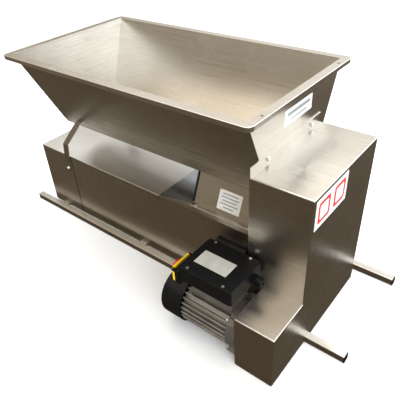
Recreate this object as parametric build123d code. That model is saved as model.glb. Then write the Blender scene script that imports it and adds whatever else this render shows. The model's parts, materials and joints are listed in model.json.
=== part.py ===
from build123d import *
import math
import os

# Crusher destemmer for grapes: a V hopper with a feed auger, two lobed crushing rollers,
# a perforated screen with a paddle beater, and a belt and chain drive in a side housing.
# Millimetres. +X runs from the stem outlet to the drive housing, +Y to the rear, +Z up.
# The origin is on the floor, below the middle of the whole machine's box.

# Sheet metal and clearances
SHEET = 2.0
PLATE = 3.0
RUNNING = 0.05
GAP = 0.5
FOLD_EDGE = 1.6
SCREW_HOLE = 3.3

# Support bars
BAR_LENGTH = 1320.0
BAR_SIZE = 22.0
BAR_WALL = 2.0
BAR_GAUGE = 342.0
BAR_EDGE = 2.0
PLUG_HEAD = 3.0
PLUG_DEPTH = 16.0
PLUG_PLAY = 0.1
PLUG_LIFT = 0.2
STRAP_WIDTH = 30.0
STRAP_THICKNESS = 5.0
STRAP_FLOOR = 3.0
STRAP_COUNT = 3

# Gear plate, the upright that everything is bolted to
PLATE_X = 380.0
PLATE_TOP = 523.0
PLATE_FLOOR = 2.0

# Destemmer body
BODY_LENGTH = 972.0
BODY_DEPTH = 288.0
BODY_TOP = 254.0
BODY_LIP = 25.0
COVER_LIP = 8.0
OUTLET_LENGTH = 162.0
SEAM_GAP = 1.6
THROAT_LENGTH = 110.0
LEDGE_WIDTH = 28.0
LEDGE_TIP = 5.0
NOTCH_WIDTH = 4.0
NOTCH_DEPTH = 18.0

# Hopper
RIM_LENGTH = 900.0
RIM_DEPTH = 500.0
RIM_TOP = 640.0
RIM_FLANGE = 24.0
RIM_LIP = 12.0
RIM_CORNER = 18.0
RIM_HOLE_RADIUS = 4.0
RIM_HOLE_INSET_X = 11.5
RIM_HOLE_SPACING_Y = 372.0
HOPPER_FLOOR = 380.0
HOPPER_FLOOR_DEPTH = 224.0
HOPPER_LEFT_DRAW = 32.0
HOPPER_OVERCUT = 5.0
STRIP_BOLT_Y = (-140.0, 74.0)
HANGER_WIDTH = 25.0
HANGER_THICKNESS = 4.0
HANGER_FOOT_X = -29.0
HANGER_BEND_X = -6.0
HANGER_TOP_X = 58.0
HANGER_DROP = 70.0
HANGER_RISE = 48.0
HANGER_LAP = 12.0

# Feed auger and its trough
AUGER_Z = 372.0
AUGER_RADIUS = 56.0
AUGER_PITCH = 110.0
AUGER_FLIGHT = 3.0
TROUGH_RADIUS = 62.0
TROUGH_EDGE = 370.0
FLIGHT_START = 8.0
FLIGHT_END_GAP = 4.0
WELD_BITE = 0.4

# Crushing rollers and their box
ROLLER_BOX_LENGTH = 270.0
ROLLER_SPACING = 78.0
ROLLER_NIP = 7.0
ROLLER_LOBE = 4.5
ROLLER_LOBES = 6
ROLLER_END_GAP = 3.0
ROLLER_BOX_NECK = 128.0
BOX_FOOT = 14.0
BUSH_BORE_PLAY = 1.0

# Shafts and bearings
SHAFT_RADIUS = 12.5
SHAFT_CLEARANCE = 2.0
BEATER_Z = 140.0
BEATER_RADIUS = 100.0
BEATER_ARMS = 16
BEATER_FIRST_ARM = 30.0
BEATER_LAST_ARM = 40.0
ARM_RADIUS = 6.0
ARM_SEAT = 0.2
ARM_SOCKET = 6.0
PADDLE_LENGTH = 46.0
PADDLE_THICKNESS = 10.0
PADDLE_RISE = 30.0
PADDLE_CORNER = 5.0
PADDLE_TWIST = 25.0
BEARING_FLANGE_RADIUS = 31.0
BEARING_FLANGE = 6.0
BEARING_SEAT_MARGIN = 3.0
BEARING_BOSS_RADIUS = 22.0
BEARING_BOSS = 12.0
BEARING_HOLE = 2.6
BEARING_HOLE_INSET = 5.0
BRACKET_THICKNESS = 5.0
BRACKET_HALF = 24.0
BRACKET_FLOOR_GAP = 8.0
BRACKET_TOP_GAP = 6.0
BUSH_RADIUS = 18.0
BUSH_LENGTH = 12.0
BUSH_GAP = 1.65

# Destemming screen
SCREEN_RADIUS = 108.0
SCREEN_SHEET = 1.5
SCREEN_SPREAD = 150.0
SCREEN_HOLE_RADIUS = 11.0
SCREEN_COLUMNS = 26
SCREEN_ROWS = 7
OUTLET_RADIUS = 102.0

# Drive housing and the lower guard in front of it
HOUSING_LENGTH = 164.0
HOUSING_FRONT = 216.0
HOUSING_REAR = 127.0
HOUSING_TOP = 496.0
HOUSING_FLOOR = 2.0
GUARD_SETBACK = 50.0
GUARD_DEPTH = 137.0
GUARD_TOP = 179.0
BEND_RADIUS = 3.0

# Gears, chains and belt, in layers counted from the gear plate
GEAR_MODULE = 3.0
GEAR_WIDTH = 20.0
GEAR_BACKLASH = 0.6
GEAR_ROOT = 1.25
GEAR_TIP = 0.9
GEAR_ROOT_SHARE = 0.70
GEAR_TIP_SHARE = 0.24
CHAIN_WIDTH = 6.0
CHAIN_THICKNESS = 8.0
BEATER_SPROCKET = 24.0
ROLLER_SPROCKET_IN = 58.0
ROLLER_SPROCKET_OUT = 26.0
AUGER_SPROCKET = 48.0
SPROCKET_TOOTH = 4.0
SPROCKET_PITCH_RADIUS = 2.2
GEAR_LAYER = 24.0
LOWER_CHAIN_LAYER = 50.0
UPPER_CHAIN_LAYER = 62.0
BELT_LAYER = 82.0
BELT_WIDTH = 13.0
BELT_THICKNESS = 8.0
BEATER_PULLEY_RADIUS = 105.0
MOTOR_PULLEY_RADIUS = 34.0
PULLEY_WIDTH = 20.0
PULLEY_HUB = 12.0

# Motor
MOTOR_FORWARD = 287.5
MOTOR_Z = 91.0
MOTOR_LENGTH = 247.0
MOTOR_COVER_RADIUS = 74.5
MOTOR_COVER_LENGTH = 72.0
MOTOR_FIN_RADIUS = 69.0
MOTOR_BARREL_RADIUS = 57.0
MOTOR_BORE_RADIUS = 52.0
MOTOR_FINS = 28
MOTOR_FIN_THICKNESS = 5.0
MOTOR_FIN_ROOT = 2.0
MOTOR_BACK_WALL = 8.0
MOTOR_PAD_HALF = 34.0
MOTOR_FLANGE = 28.0
LUG_WIDTH = 16.0
LUG_HEIGHT = 26.0
LUG_SETBACK = 6.0
COVER_CORNER = 12.0
COVER_SLOTS = 16
SLOT_RADIUS = 42.0
SLOT_WIDTH = 6.0
SLOT_LENGTH = 34.0
MOTOR_PLATE = 4.0
MOTOR_PLATE_REAR = 70.0
MOTOR_PLATE_LIFT = 2.0
SPACER_RADIUS = 8.0
SPACER_Y = 48.0
SPACER_LOW = 22.0
SPACER_HIGH = 26.0
ROTOR_SHAFT_RADIUS = 9.5
ROTOR_RADIUS = 36.0
AIR_GAP = 0.6
CORE_MARGIN = 21.0
FAN_RADIUS = 62.0
FAN_HUB_RADIUS = 18.0
FAN_BLADES = 8
FAN_BLADE = 3.0

# Terminal box on the motor
BOX_LENGTH = 162.0
BOX_DEPTH = 134.0
BOX_FLOOR = 223.0
BOX_SPLIT = 245.0
BOX_TOP = 268.0
BOX_WALL = 3.0
BOX_CORNER = 8.0
BOX_OFFSET = 9.0
BOX_REAR_GAP = 8.0
LID_EDGE = 1.2
LID_SCREW_INSET_LEFT = 25.0
LID_SCREW_INSET_RIGHT = 28.0
LID_SCREW_INSET_Y = 8.0
LID_SCREW_HEAD = 3.8
LID_SCREW_HEAD_HEIGHT = 2.4
LID_SCREW_RADIUS = 2.0
LID_POST_RADIUS = 6.0
NAMEPLATE_LENGTH = 98.0
NAMEPLATE_DEPTH = 50.0
NAMEPLATE_THICKNESS = 0.8
NAMEPLATE_INSET_X = 22.0
NAMEPLATE_INSET_Y = 37.0
CAPACITOR_RADIUS = 22.0
CAPACITOR_LENGTH = 100.0
CAPACITOR_INSET = 10.0
SADDLE_WIDTH = 28.0
SADDLE_DEPTH = 10.0
GLAND_RADIUS = 15.0
GLAND_LENGTH = 26.0
GLAND_HEXAGON = 9.0
GLAND_THREAD = 8.0
GLAND_BORE = 4.5
GLAND_NUT = 12.75
GLAND_EDGE = 3.0
GLAND_INSET = 34.0

# Switch on the terminal box
SWITCH_DEPTH = 70.0
SWITCH_HEIGHT = 48.0
SWITCH_FLOOR = 200.0
SWITCH_THICKNESS = 14.0
SWITCH_CORNER = 3.0
FLAP_THICKNESS = 7.0
FLAP_CORNER = 5.0
BUTTON_SIZE = 16.0
BUTTON_TRAVEL = 3.0
BUTTON_OFFSET = 12.0
BUTTON_PLAY = 0.4
WELL_BACK = 5.0
EAR_THICKNESS = 3.0
EAR_DROP = 9.0
EAR_RISE = 4.0
EAR_ROOT = 4.0
HINGE_PIN = 1.6
MUSHROOM_RADIUS = 18.0
MUSHROOM_HEIGHT = 11.0
MUSHROOM_STEM = 7.0
MUSHROOM_TRAVEL = 4.0
MUSHROOM_GAP = 1.0
STEM_BITE = 2.0

# Hexagon heads
HEAD_RADIUS = 5.6
HEAD_HEIGHT = 4.0
SCREW_RADIUS = 3.0
SCREW_SHANK = 8.0
STRAP_SCREW_X = 3.0
STRAP_SCREW_Z = 14.0
FOOT_SCREW_LEFT = 20.0
FOOT_SCREW_RIGHT = 60.0

# Machine centre plane: places the middle of the whole box over the origin
FRONT_REACH = max(MOTOR_FORWARD + MOTOR_COVER_RADIUS, HOUSING_FRONT + GUARD_DEPTH)
CY = (FRONT_REACH - RIM_DEPTH / 2) / 2

# Places that follow from the sizes above
BODY_X = PLATE_X - BODY_LENGTH
BODY_FLOOR = STRAP_FLOOR + STRAP_THICKNESS
HALF_BODY = BODY_DEPTH / 2
SEAM_X = BODY_X + OUTLET_LENGTH
ROLLER_BOX_X = PLATE_X - ROLLER_BOX_LENGTH
COVER_END_X = ROLLER_BOX_X - THROAT_LENGTH
HALF_FLOOR = HOPPER_FLOOR_DEPTH / 2
RIM_X1 = PLATE_X + RIM_FLANGE - SHEET
RIM_X0 = RIM_X1 - RIM_LENGTH
HOPPER_X0 = RIM_X0 + RIM_FLANGE
HOPPER_FLOOR_X0 = HOPPER_X0 + HOPPER_LEFT_DRAW
HALF_MOUTH = RIM_DEPTH / 2 - RIM_FLANGE
HOUSING_X0 = PLATE_X + PLATE
HOUSING_X1 = PLATE_X + HOUSING_LENGTH
GUARD_X0 = PLATE_X + GUARD_SETBACK
GUARD_FRONT = HOUSING_FRONT + GUARD_DEPTH
HALF_SPACING = ROLLER_SPACING / 2
ROLLER_MEAN_RADIUS = (ROLLER_SPACING - ROLLER_NIP) / 2
BUSH_REACH = TROUGH_RADIUS + SHEET + BUSH_GAP + BUSH_RADIUS
ROLLER_Z = AUGER_Z - math.sqrt(BUSH_REACH**2 - HALF_SPACING**2)
BEATER_X0 = BODY_X - BRACKET_THICKNESS - BEARING_FLANGE - BEARING_BOSS
MOTOR_Y = CY - MOTOR_FORWARD
MOTOR_X0 = GUARD_X0 - MOTOR_LENGTH
MOTOR_BODY_X0 = MOTOR_X0 + MOTOR_COVER_LENGTH
MOTOR_BODY_X1 = GUARD_X0 - MOTOR_FLANGE
BOX_X0 = MOTOR_BODY_X0 + BOX_OFFSET
BOX_X1 = BOX_X0 + BOX_LENGTH
BOX_Y1 = CY - HOUSING_FRONT - BOX_REAR_GAP
BOX_Y0 = BOX_Y1 - BOX_DEPTH
SWITCH_Y = BOX_Y0 + SWITCH_DEPTH / 2
SWITCH_Z = SWITCH_FLOOR + SWITCH_HEIGHT / 2
SWITCH_FACE_X = BOX_X0 - SWITCH_THICKNESS
FLAP_X1 = SWITCH_FACE_X - BUTTON_TRAVEL - GAP
FLAP_X0 = FLAP_X1 - FLAP_THICKNESS
HINGE_X = (FLAP_X0 + FLAP_X1) / 2
HINGE_Z = SWITCH_FLOOR + SWITCH_HEIGHT
AXES = {
    "beater": (CY, BEATER_Z),
    "auger": (CY, AUGER_Z),
    "front_roller": (CY - HALF_SPACING, ROLLER_Z),
    "rear_roller": (CY + HALF_SPACING, ROLLER_Z),
    "motor": (MOTOR_Y, MOTOR_Z),
}


def block(x0, x1, y0, y1, z0, z1):
    """Box given by its two corners."""
    center = Pos((x0 + x1) / 2, (y0 + y1) / 2, (z0 + z1) / 2)
    return center * Box(x1 - x0, y1 - y0, z1 - z0)


def rod(x0, x1, axis, radius):
    """Round bar along X about an axis given as (y, z)."""
    return Pos((x0 + x1) / 2, axis[0], axis[1]) * Rot(0, 90, 0) * Cylinder(radius, x1 - x0)


def ring(x0, x1, axis, outer, inner):
    """Round tube along X."""
    return rod(x0, x1, axis, outer) - rod(x0 - 1, x1 + 1, axis, inner)


def prism(face, x0, x1):
    """Flat outline in (y, z) drawn out along X."""
    return extrude(Plane.YZ.offset(x0) * face, x1 - x0)


def outline(points):
    """Closed face through a list of (y, z) points."""
    return make_face(Polyline(*points, close=True))


def save(name, *solids):
    """Writes one node as a STEP file."""
    shape = solids[0] if len(solids) == 1 else Compound(children=list(solids))
    export_step(shape, "parts/" + name + ".step")


# ---- Frame -------------------------------------------------------------------------------------


def support_bar(side):
    """Square tube under the machine, open at both ends for its plugs."""
    y = CY + side * BAR_GAUGE / 2
    half = BAR_SIZE / 2
    end = BAR_LENGTH / 2 - PLUG_HEAD
    tube = block(-end, end, y - half, y + half, 0, BAR_SIZE)
    tube = fillet(tube.edges().filter_by(Axis.X), BAR_EDGE)
    inner = half - BAR_WALL
    return tube - block(-end - 1, end + 1, y - inner, y + inner, BAR_WALL, BAR_SIZE - BAR_WALL)


def bar_plugs():
    """Plastic plugs that close the four tube ends."""
    plugs = []
    half = BAR_SIZE / 2
    inner = half - BAR_WALL - PLUG_PLAY
    end = BAR_LENGTH / 2
    for side in (-1, 1):
        y = CY + side * BAR_GAUGE / 2
        for way in (-1, 1):
            outer, seat, deep = way * end, way * (end - PLUG_HEAD), way * (end - PLUG_HEAD - PLUG_DEPTH)
            head = block(min(outer, seat), max(outer, seat), y - half, y + half, PLUG_LIFT, BAR_SIZE)
            stem = block(
                min(seat, deep), max(seat, deep), y - inner, y + inner,
                half - inner, half + inner,
            )
            plugs.append(head + stem)
    return plugs


def cross_straps():
    """Flat bars welded between the two support bars, under the body."""
    reach = BAR_GAUGE / 2 - BAR_SIZE / 2
    first = BODY_X + 2 * STRAP_WIDTH
    step = (BODY_LENGTH - 4 * STRAP_WIDTH) / (STRAP_COUNT - 1)
    straps = []
    for i in range(STRAP_COUNT):
        x = first + i * step
        straps.append(block(x - STRAP_WIDTH / 2, x + STRAP_WIDTH / 2, CY - reach, CY + reach,
                            STRAP_FLOOR, BODY_FLOOR))
    return straps


def gear_plate():
    """Upright plate between the body and the drive, with bearing bores and a notch for the front bar."""
    rear = max(HOUSING_REAR, HALF_BODY + SHEET)
    x0, x1 = PLATE_X, HOUSING_X0
    upper = block(x0, x1, CY - HOUSING_FRONT, CY + HOUSING_REAR, PLATE_FLOOR, PLATE_TOP)
    lower = block(x0, x1, CY - HOUSING_FRONT, CY + rear, PLATE_FLOOR, BODY_TOP)
    plate = upper + lower
    for name in ("beater", "auger", "front_roller", "rear_roller"):
        plate -= rod(x0 - 1, x1 + 1, AXES[name], SHAFT_RADIUS + SHAFT_CLEARANCE)
    bar_y = CY - BAR_GAUGE / 2
    notch = BAR_SIZE / 2 + GAP
    plate -= block(x0 - 1, x1 + 1, bar_y - notch, bar_y + notch, 0, BAR_SIZE + GAP)
    for y in STRIP_BOLT_Y:
        plate -= rod(x0 - 1, x1 + 1, (CY + y, strip_bolt_z()), SCREW_HOLE)
    return plate


def strip_bolt_z():
    """Height of the bolts that hold the hopper's end to the plate's top strip."""
    return (HOUSING_TOP + PLATE_TOP) / 2


# ---- Destemmer body ----------------------------------------------------------------------------


def side_panel(x0, x1, side):
    """Upright sheet with inward lips along its top and bottom edges."""
    def inward(near, far, z0, z1):
        low, high = sorted((CY + side * near, CY + side * far))
        return block(x0, x1, low, high, z0, z1)

    web = inward(HALF_BODY - SHEET, HALF_BODY, BODY_FLOOR, BODY_TOP - SHEET)
    floor_lip = inward(HALF_BODY - BODY_LIP, HALF_BODY, BODY_FLOOR, BODY_FLOOR + SHEET)
    top_lip = inward(HALF_BODY - BODY_LIP / 2, HALF_BODY, BODY_TOP - 2 * SHEET, BODY_TOP - SHEET)
    return web + floor_lip + top_lip


def ledge_points():
    """Outline, seen from above, of the ledge right of the cover: it widens up to the roller box."""
    front = CY - HALF_BODY
    x0 = COVER_END_X + GAP
    return [
        (x0, front), (PLATE_X, front), (PLATE_X, front + LEDGE_WIDTH),
        (ROLLER_BOX_X, front + LEDGE_WIDTH), (x0, front + LEDGE_TIP),
    ]


def front_panel():
    """Front side panel with the ledge folded in at its top and a corner notch at the cover's end."""
    panel = side_panel(SEAM_X + SEAM_GAP, PLATE_X, -1)
    ledge = Plane.XY.offset(BODY_TOP - SHEET) * make_face(Polyline(*ledge_points(), close=True))
    panel += extrude(ledge, SHEET)
    front = CY - HALF_BODY
    x1 = COVER_END_X + GAP
    return panel - block(x1 - NOTCH_WIDTH, x1, front - 1, front + SHEET + 1, BODY_TOP - NOTCH_DEPTH, BODY_TOP)


def outlet_end_plate():
    """End sheet with the round opening that the stems leave through."""
    plate = block(BODY_X - SHEET, BODY_X, CY - HALF_BODY, CY + HALF_BODY, BODY_FLOOR, BODY_TOP)
    plate -= rod(BODY_X - SHEET - 1, BODY_X + 1, AXES["beater"], OUTLET_RADIUS)
    return plate


def top_cover():
    """Loose cover over the left part of the body, with a down-turned lip at its right end."""
    cover = block(BODY_X, COVER_END_X, CY - HALF_BODY, CY + HALF_BODY, BODY_TOP - SHEET, BODY_TOP)
    cover = fillet(cover.edges().filter_by(Axis.X).group_by(Axis.Z)[-1], FOLD_EDGE)
    inner = HALF_BODY - BODY_LIP
    lip_floor = BODY_TOP - COVER_LIP
    cover += block(COVER_END_X - SHEET, COVER_END_X, CY - inner, CY + inner, lip_floor, BODY_TOP - SHEET)
    return cover


def throat_plate():
    """Fixed plate right of the cover, cut out under the rollers and along the front ledge."""
    x0 = COVER_END_X + GAP
    plate = block(x0, PLATE_X, CY - HALF_BODY, CY + HALF_BODY, BODY_TOP - SHEET, BODY_TOP)
    half = HALF_FLOOR - SHEET
    low, high = BODY_TOP - SHEET - 1, BODY_TOP + 1
    plate -= block(ROLLER_BOX_X + PLATE, PLATE_X + 1, CY - half, CY + half, low, high)
    gap = [(x, y + GAP) for x, y in ledge_points()[2:]]
    edge = [(x0 - 1, CY - HALF_BODY - 1), (PLATE_X + 1, CY - HALF_BODY - 1)]
    edge += [(PLATE_X + 1, gap[0][1]), gap[1], (x0 - 1, gap[2][1])]
    cut = Plane.XY.offset(low) * make_face(Polyline(*edge, close=True))
    return plate - extrude(cut, high - low)


def screen():
    """Half-round perforated sheet under the beater, hung by two flat flanges."""
    x0, x1 = BODY_X + GAP, PLATE_X - GAP
    outer = SCREEN_RADIUS + SCREEN_SHEET
    shell = ring(x0, x1, AXES["beater"], outer, SCREEN_RADIUS)
    shell -= block(x0 - 1, x1 + 1, CY - 2 * outer, CY + 2 * outer, BEATER_Z, BEATER_Z + 2 * outer)
    pitch = (x1 - x0) / SCREEN_COLUMNS
    for column in range(SCREEN_COLUMNS):
        x = x0 + (column + 0.5) * pitch
        shell -= screen_holes(x, column % 2)
    for side in (-1, 1):
        low, high = sorted((CY + side * SCREEN_RADIUS, CY + side * (HALF_BODY - SHEET)))
        shell += block(x0, x1, low, high, BEATER_Z - SCREEN_SHEET, BEATER_Z)
    return shell


def screen_holes(x, shifted):
    """One column of drills that spread like a fan below the beater axis."""
    drills = []
    rows = SCREEN_ROWS - shifted
    step = SCREEN_SPREAD / SCREEN_ROWS
    for row in range(rows):
        tilt = (row - (rows - 1) / 2) * step
        drill = Pos(0, 0, -SCREEN_RADIUS) * Cylinder(SCREEN_HOLE_RADIUS, 2 * SCREEN_HOLE_RADIUS)
        drills.append(Pos(x, CY, BEATER_Z) * Rot(tilt, 0, 0) * drill)
    return drills


def outlet_bracket():
    """Flat bar across the stem outlet that carries the beater's left bearing."""
    x1 = BODY_X - SHEET
    x0 = x1 - BRACKET_THICKNESS
    low, high = BODY_FLOOR + BRACKET_FLOOR_GAP, BODY_TOP - BRACKET_TOP_GAP
    bar = block(x0, x1, CY - BRACKET_HALF, CY + BRACKET_HALF, low, high)
    return bar - rod(x0 - 1, x1 + 1, AXES["beater"], SHAFT_RADIUS + SHAFT_CLEARANCE)


# ---- Hopper ------------------------------------------------------------------------------------


def hopper_rise(z):
    """Share of the hopper's height at z, zero at its floor and one at its rim."""
    return (z - HOPPER_FLOOR) / (RIM_TOP - HOPPER_FLOOR)


def hopper_half(z, wall):
    """Half depth of the hopper at height z, moved inwards by wall."""
    return HALF_FLOOR + hopper_rise(z) * (HALF_MOUTH - HALF_FLOOR) - wall


def hopper_section(z, wall):
    """Outline of the hopper at height z, moved inwards by wall on every side."""
    x0 = HOPPER_FLOOR_X0 + hopper_rise(z) * (HOPPER_X0 - HOPPER_FLOOR_X0) + wall
    x1 = PLATE_X - wall
    return Pos((x0 + x1) / 2, CY, z) * Rectangle(x1 - x0, 2 * hopper_half(z, wall))


def outside_wall(side):
    """Space beyond the inner face of the hopper's front or rear wall."""
    low, high = HOPPER_FLOOR - HOPPER_OVERCUT, RIM_TOP + HOPPER_OVERCUT
    near, far = hopper_half(low, SHEET), hopper_half(high, SHEET)
    points = [(near, low), (far, high), (RIM_DEPTH, high), (RIM_DEPTH, low)]
    return prism(outline([(CY + side * y, z) for y, z in points]), RIM_X0 - 1, RIM_X1 + 1)


def weld_apart(shell):
    """Cuts a four-sided shell along its weld lines into front, rear, left and right pieces."""
    front, rear = outside_wall(-1), outside_wall(1)
    ends = shell - front - rear
    middle = (RIM_X0 + RIM_X1) / 2
    depth = (CY - RIM_DEPTH, CY + RIM_DEPTH, 0, RIM_TOP + HOPPER_OVERCUT)
    left = ends & block(RIM_X0 - 1, middle, *depth)
    right = ends & block(middle, RIM_X1 + 1, *depth)
    return [shell & front, shell & rear, left, right]


def hopper():
    """Four sloped walls welded at the corners, under a flat rim with a down-turned lip."""
    outer = loft([hopper_section(HOPPER_FLOOR, 0), hopper_section(RIM_TOP - SHEET / 2, 0)], ruled=True)
    low, high = HOPPER_FLOOR - HOPPER_OVERCUT, RIM_TOP + HOPPER_OVERCUT
    inner = loft([hopper_section(low, SHEET), hopper_section(high, SHEET)], ruled=True)
    shell = outer + hopper_rim() - inner
    x0, x1 = PLATE_X - SHEET - 1, PLATE_X + 1
    for y in STRIP_BOLT_Y:
        shell -= rod(x0, x1, (CY + y, strip_bolt_z()), SCREW_HOLE)
    shell -= rod(x0, x1, AXES["auger"], SHAFT_RADIUS + SHAFT_CLEARANCE)
    seat = BEARING_FLANGE_RADIUS + BEARING_SEAT_MARGIN + GAP
    shell -= rod(HOPPER_X0, HOPPER_FLOOR_X0 + HOPPER_LEFT_DRAW, AXES["auger"], seat)
    depth = (CY - RIM_DEPTH, CY + RIM_DEPTH)
    top = block(RIM_X0 - 1, RIM_X1 + 1, *depth, RIM_TOP - RIM_LIP, RIM_TOP + HOPPER_OVERCUT)
    return weld_apart(shell - top) + weld_apart(shell & top)


def hopper_rim():
    """Flat flange with rounded corners and a thin lip, before the mouth is cut."""
    middle = Pos((RIM_X0 + RIM_X1) / 2, CY, RIM_TOP - RIM_LIP)
    whole = RectangleRounded(RIM_LENGTH, RIM_DEPTH, RIM_CORNER)
    core = RectangleRounded(RIM_LENGTH - 2 * SHEET, RIM_DEPTH - 2 * SHEET, RIM_CORNER - SHEET)
    rim = extrude(whole, RIM_LIP)
    rim = fillet(rim.edges().group_by(Axis.Z)[-1], FOLD_EDGE)
    rim = middle * (rim - extrude(core, RIM_LIP - SHEET))
    for x in (RIM_X0 + RIM_HOLE_INSET_X, RIM_X1 - RIM_HOLE_INSET_X):
        for side in (-1, 1):
            y = CY + side * RIM_HOLE_SPACING_Y / 2
            rim -= Pos(x, y, RIM_TOP) * Cylinder(RIM_HOLE_RADIUS, 4 * SHEET)
    return rim


def auger_trough():
    """Hopper floor with the round auger trough, closed at its left end and open over the rollers."""
    half = HALF_FLOOR
    thick = SHEET
    edge = TROUGH_EDGE
    outer = outline([
        (CY - half, HOPPER_FLOOR), (CY - half, HOPPER_FLOOR - thick),
        (CY - TROUGH_RADIUS, edge - thick), (CY + TROUGH_RADIUS, edge - thick),
        (CY + half, HOPPER_FLOOR - thick), (CY + half, HOPPER_FLOOR),
    ])
    trough = prism(outer, HOPPER_FLOOR_X0, PLATE_X)
    trough += rod(HOPPER_FLOOR_X0, ROLLER_BOX_X, AXES["auger"], TROUGH_RADIUS + thick)
    hollow = outline([
        (CY - half, HOPPER_FLOOR), (CY - TROUGH_RADIUS, edge),
        (CY + TROUGH_RADIUS, edge), (CY + half, HOPPER_FLOOR),
    ])
    x0, x1 = HOPPER_FLOOR_X0 + thick, PLATE_X + 1
    trough -= prism(hollow, x0, x1)
    trough -= rod(x0, x1, AXES["auger"], TROUGH_RADIUS)
    mouth = (CY - TROUGH_RADIUS, CY + TROUGH_RADIUS)
    trough -= block(ROLLER_BOX_X, x1, *mouth, edge - thick - 1, HOPPER_FLOOR)
    trough -= block(HOPPER_FLOOR_X0 - 1, x1, CY - 2 * half, CY + 2 * half, HOPPER_FLOOR, RIM_TOP)
    trough += rod(HOPPER_FLOOR_X0, x0, AXES["auger"], BEARING_FLANGE_RADIUS + BEARING_SEAT_MARGIN)
    return trough - rod(HOPPER_FLOOR_X0 - 1, x0 + 1, AXES["auger"], SHAFT_RADIUS + SHAFT_CLEARANCE)


def strap_section(x, near, z, side):
    """Cross-section of the hopper strap where it passes height z."""
    middle = near + HANGER_THICKNESS / 2
    return Pos(x, CY + side * middle, z) * Rectangle(HANGER_WIDTH, HANGER_THICKNESS)


def hopper_strap(side):
    """Flat bar from the hopper's lower left corner, bent down onto the body's side."""
    wall = HALF_FLOOR + (HALF_MOUTH - HALF_FLOOR) / (RIM_TOP - HOPPER_FLOOR) * HANGER_LAP
    return loft([
        strap_section(SEAM_X + HANGER_FOOT_X, HALF_BODY, BODY_TOP - HANGER_DROP, side),
        strap_section(SEAM_X + HANGER_BEND_X, HALF_BODY, BODY_TOP + HANGER_RISE, side),
        strap_section(SEAM_X + HANGER_TOP_X, wall, HOPPER_FLOOR + HANGER_LAP, side),
    ], ruled=True)


# ---- Roller box --------------------------------------------------------------------------------


def roller_box_top():
    """Height at which the leaning sides meet the hopper floor."""
    return TROUGH_EDGE - SHEET - GAP


def roller_box_half(z):
    """Half depth of the roller box, outside, at height z: it flares towards the body."""
    rise = (z - BODY_TOP) / (roller_box_top() - BODY_TOP)
    return HALF_FLOOR + rise * (ROLLER_BOX_NECK / 2 - HALF_FLOOR)


def roller_box_side(side):
    """Sheet that leans in over the rollers, with an outward foot on the ledge."""
    low, high = BODY_TOP, roller_box_top()
    near, far = roller_box_half(low), roller_box_half(high)
    points = [
        (near + BOX_FOOT, low), (near + BOX_FOOT, low + SHEET),
        (roller_box_half(low + SHEET), low + SHEET), (far, high),
        (far - SHEET, high), (near - SHEET, low),
    ]
    return prism(outline([(CY + side * y, z) for y, z in points]), ROLLER_BOX_X, PLATE_X)


def roller_end_plate():
    """Left end of the roller box, cut round for the trough, with bores for the roller bushes."""
    x0, x1 = ROLLER_BOX_X, ROLLER_BOX_X + PLATE
    low, high = BODY_TOP, roller_box_top() - GAP
    inset = SHEET + GAP
    near, far = roller_box_half(low) - inset, roller_box_half(high) - inset
    plate = prism(outline([(CY - near, low), (CY - far, high), (CY + far, high), (CY + near, low)]), x0, x1)
    plate -= rod(x0 - 1, x1 + 1, AXES["auger"], TROUGH_RADIUS)
    for name in ("front_roller", "rear_roller"):
        plate -= rod(x0 - 1, x1 + 1, AXES[name], SHAFT_RADIUS + BUSH_BORE_PLAY)
    return plate


def lobed_face(turn):
    """Wavy outline of a crushing roller about the sketch origin."""
    points = []
    steps = 8 * ROLLER_LOBES
    for i in range(steps):
        angle = 2 * math.pi * i / steps
        radius = ROLLER_MEAN_RADIUS + ROLLER_LOBE * math.cos(ROLLER_LOBES * angle + turn)
        points.append((radius * math.cos(angle), radius * math.sin(angle)))
    return make_face(Spline(*points, periodic=True))


def roller(name, turn):
    """Lobed roller with its shaft, running from the end bush to the gear in the housing."""
    y, z = AXES[name]
    lobes = prism(Pos(y, z) * lobed_face(turn), ROLLER_BOX_X + PLATE + ROLLER_END_GAP,
                  PLATE_X - ROLLER_END_GAP)
    shaft = rod(ROLLER_BOX_X - BUSH_LENGTH, shaft_end(name), (y, z), SHAFT_RADIUS)
    return lobes + shaft


def shaft_end(name):
    """Right end of each driven shaft inside the housing."""
    layers = {
        "beater": BELT_LAYER + PULLEY_WIDTH,
        "auger": UPPER_CHAIN_LAYER + 2 * CHAIN_WIDTH,
        "front_roller": UPPER_CHAIN_LAYER + 2 * CHAIN_WIDTH,
        "rear_roller": GEAR_LAYER + GEAR_WIDTH + 4,
    }
    return PLATE_X + layers[name]


# ---- Auger, beater and bearings ----------------------------------------------------------------


def auger_shaft():
    """Plain shaft from the hopper's left wall to the upper chain."""
    x0 = HOPPER_FLOOR_X0 - BEARING_FLANGE - BEARING_BOSS
    return rod(x0, shaft_end("auger"), AXES["auger"], SHAFT_RADIUS)


def auger_flight():
    """Screw blade that carries the grapes along the trough to the rollers."""
    x0 = HOPPER_FLOOR_X0 + SHEET + FLIGHT_START
    length = ROLLER_BOX_X - x0 - FLIGHT_END_GAP
    width = AUGER_RADIUS - SHAFT_RADIUS + WELD_BITE
    middle = SHAFT_RADIUS - WELD_BITE + width / 2
    path = Helix(AUGER_PITCH, length, middle)
    section = Plane.XZ * Pos(middle, 0) * Rectangle(width, AUGER_FLIGHT)
    blade = sweep(section, path=path, is_frenet=True)
    return Pos(x0, CY, AUGER_Z) * Rot(0, 90, 0) * blade


def beater_shaft():
    """Main shaft from the outlet bearing to the large pulley."""
    return rod(BEATER_X0 - SHEET, shaft_end("beater"), AXES["beater"], SHAFT_RADIUS)


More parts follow.
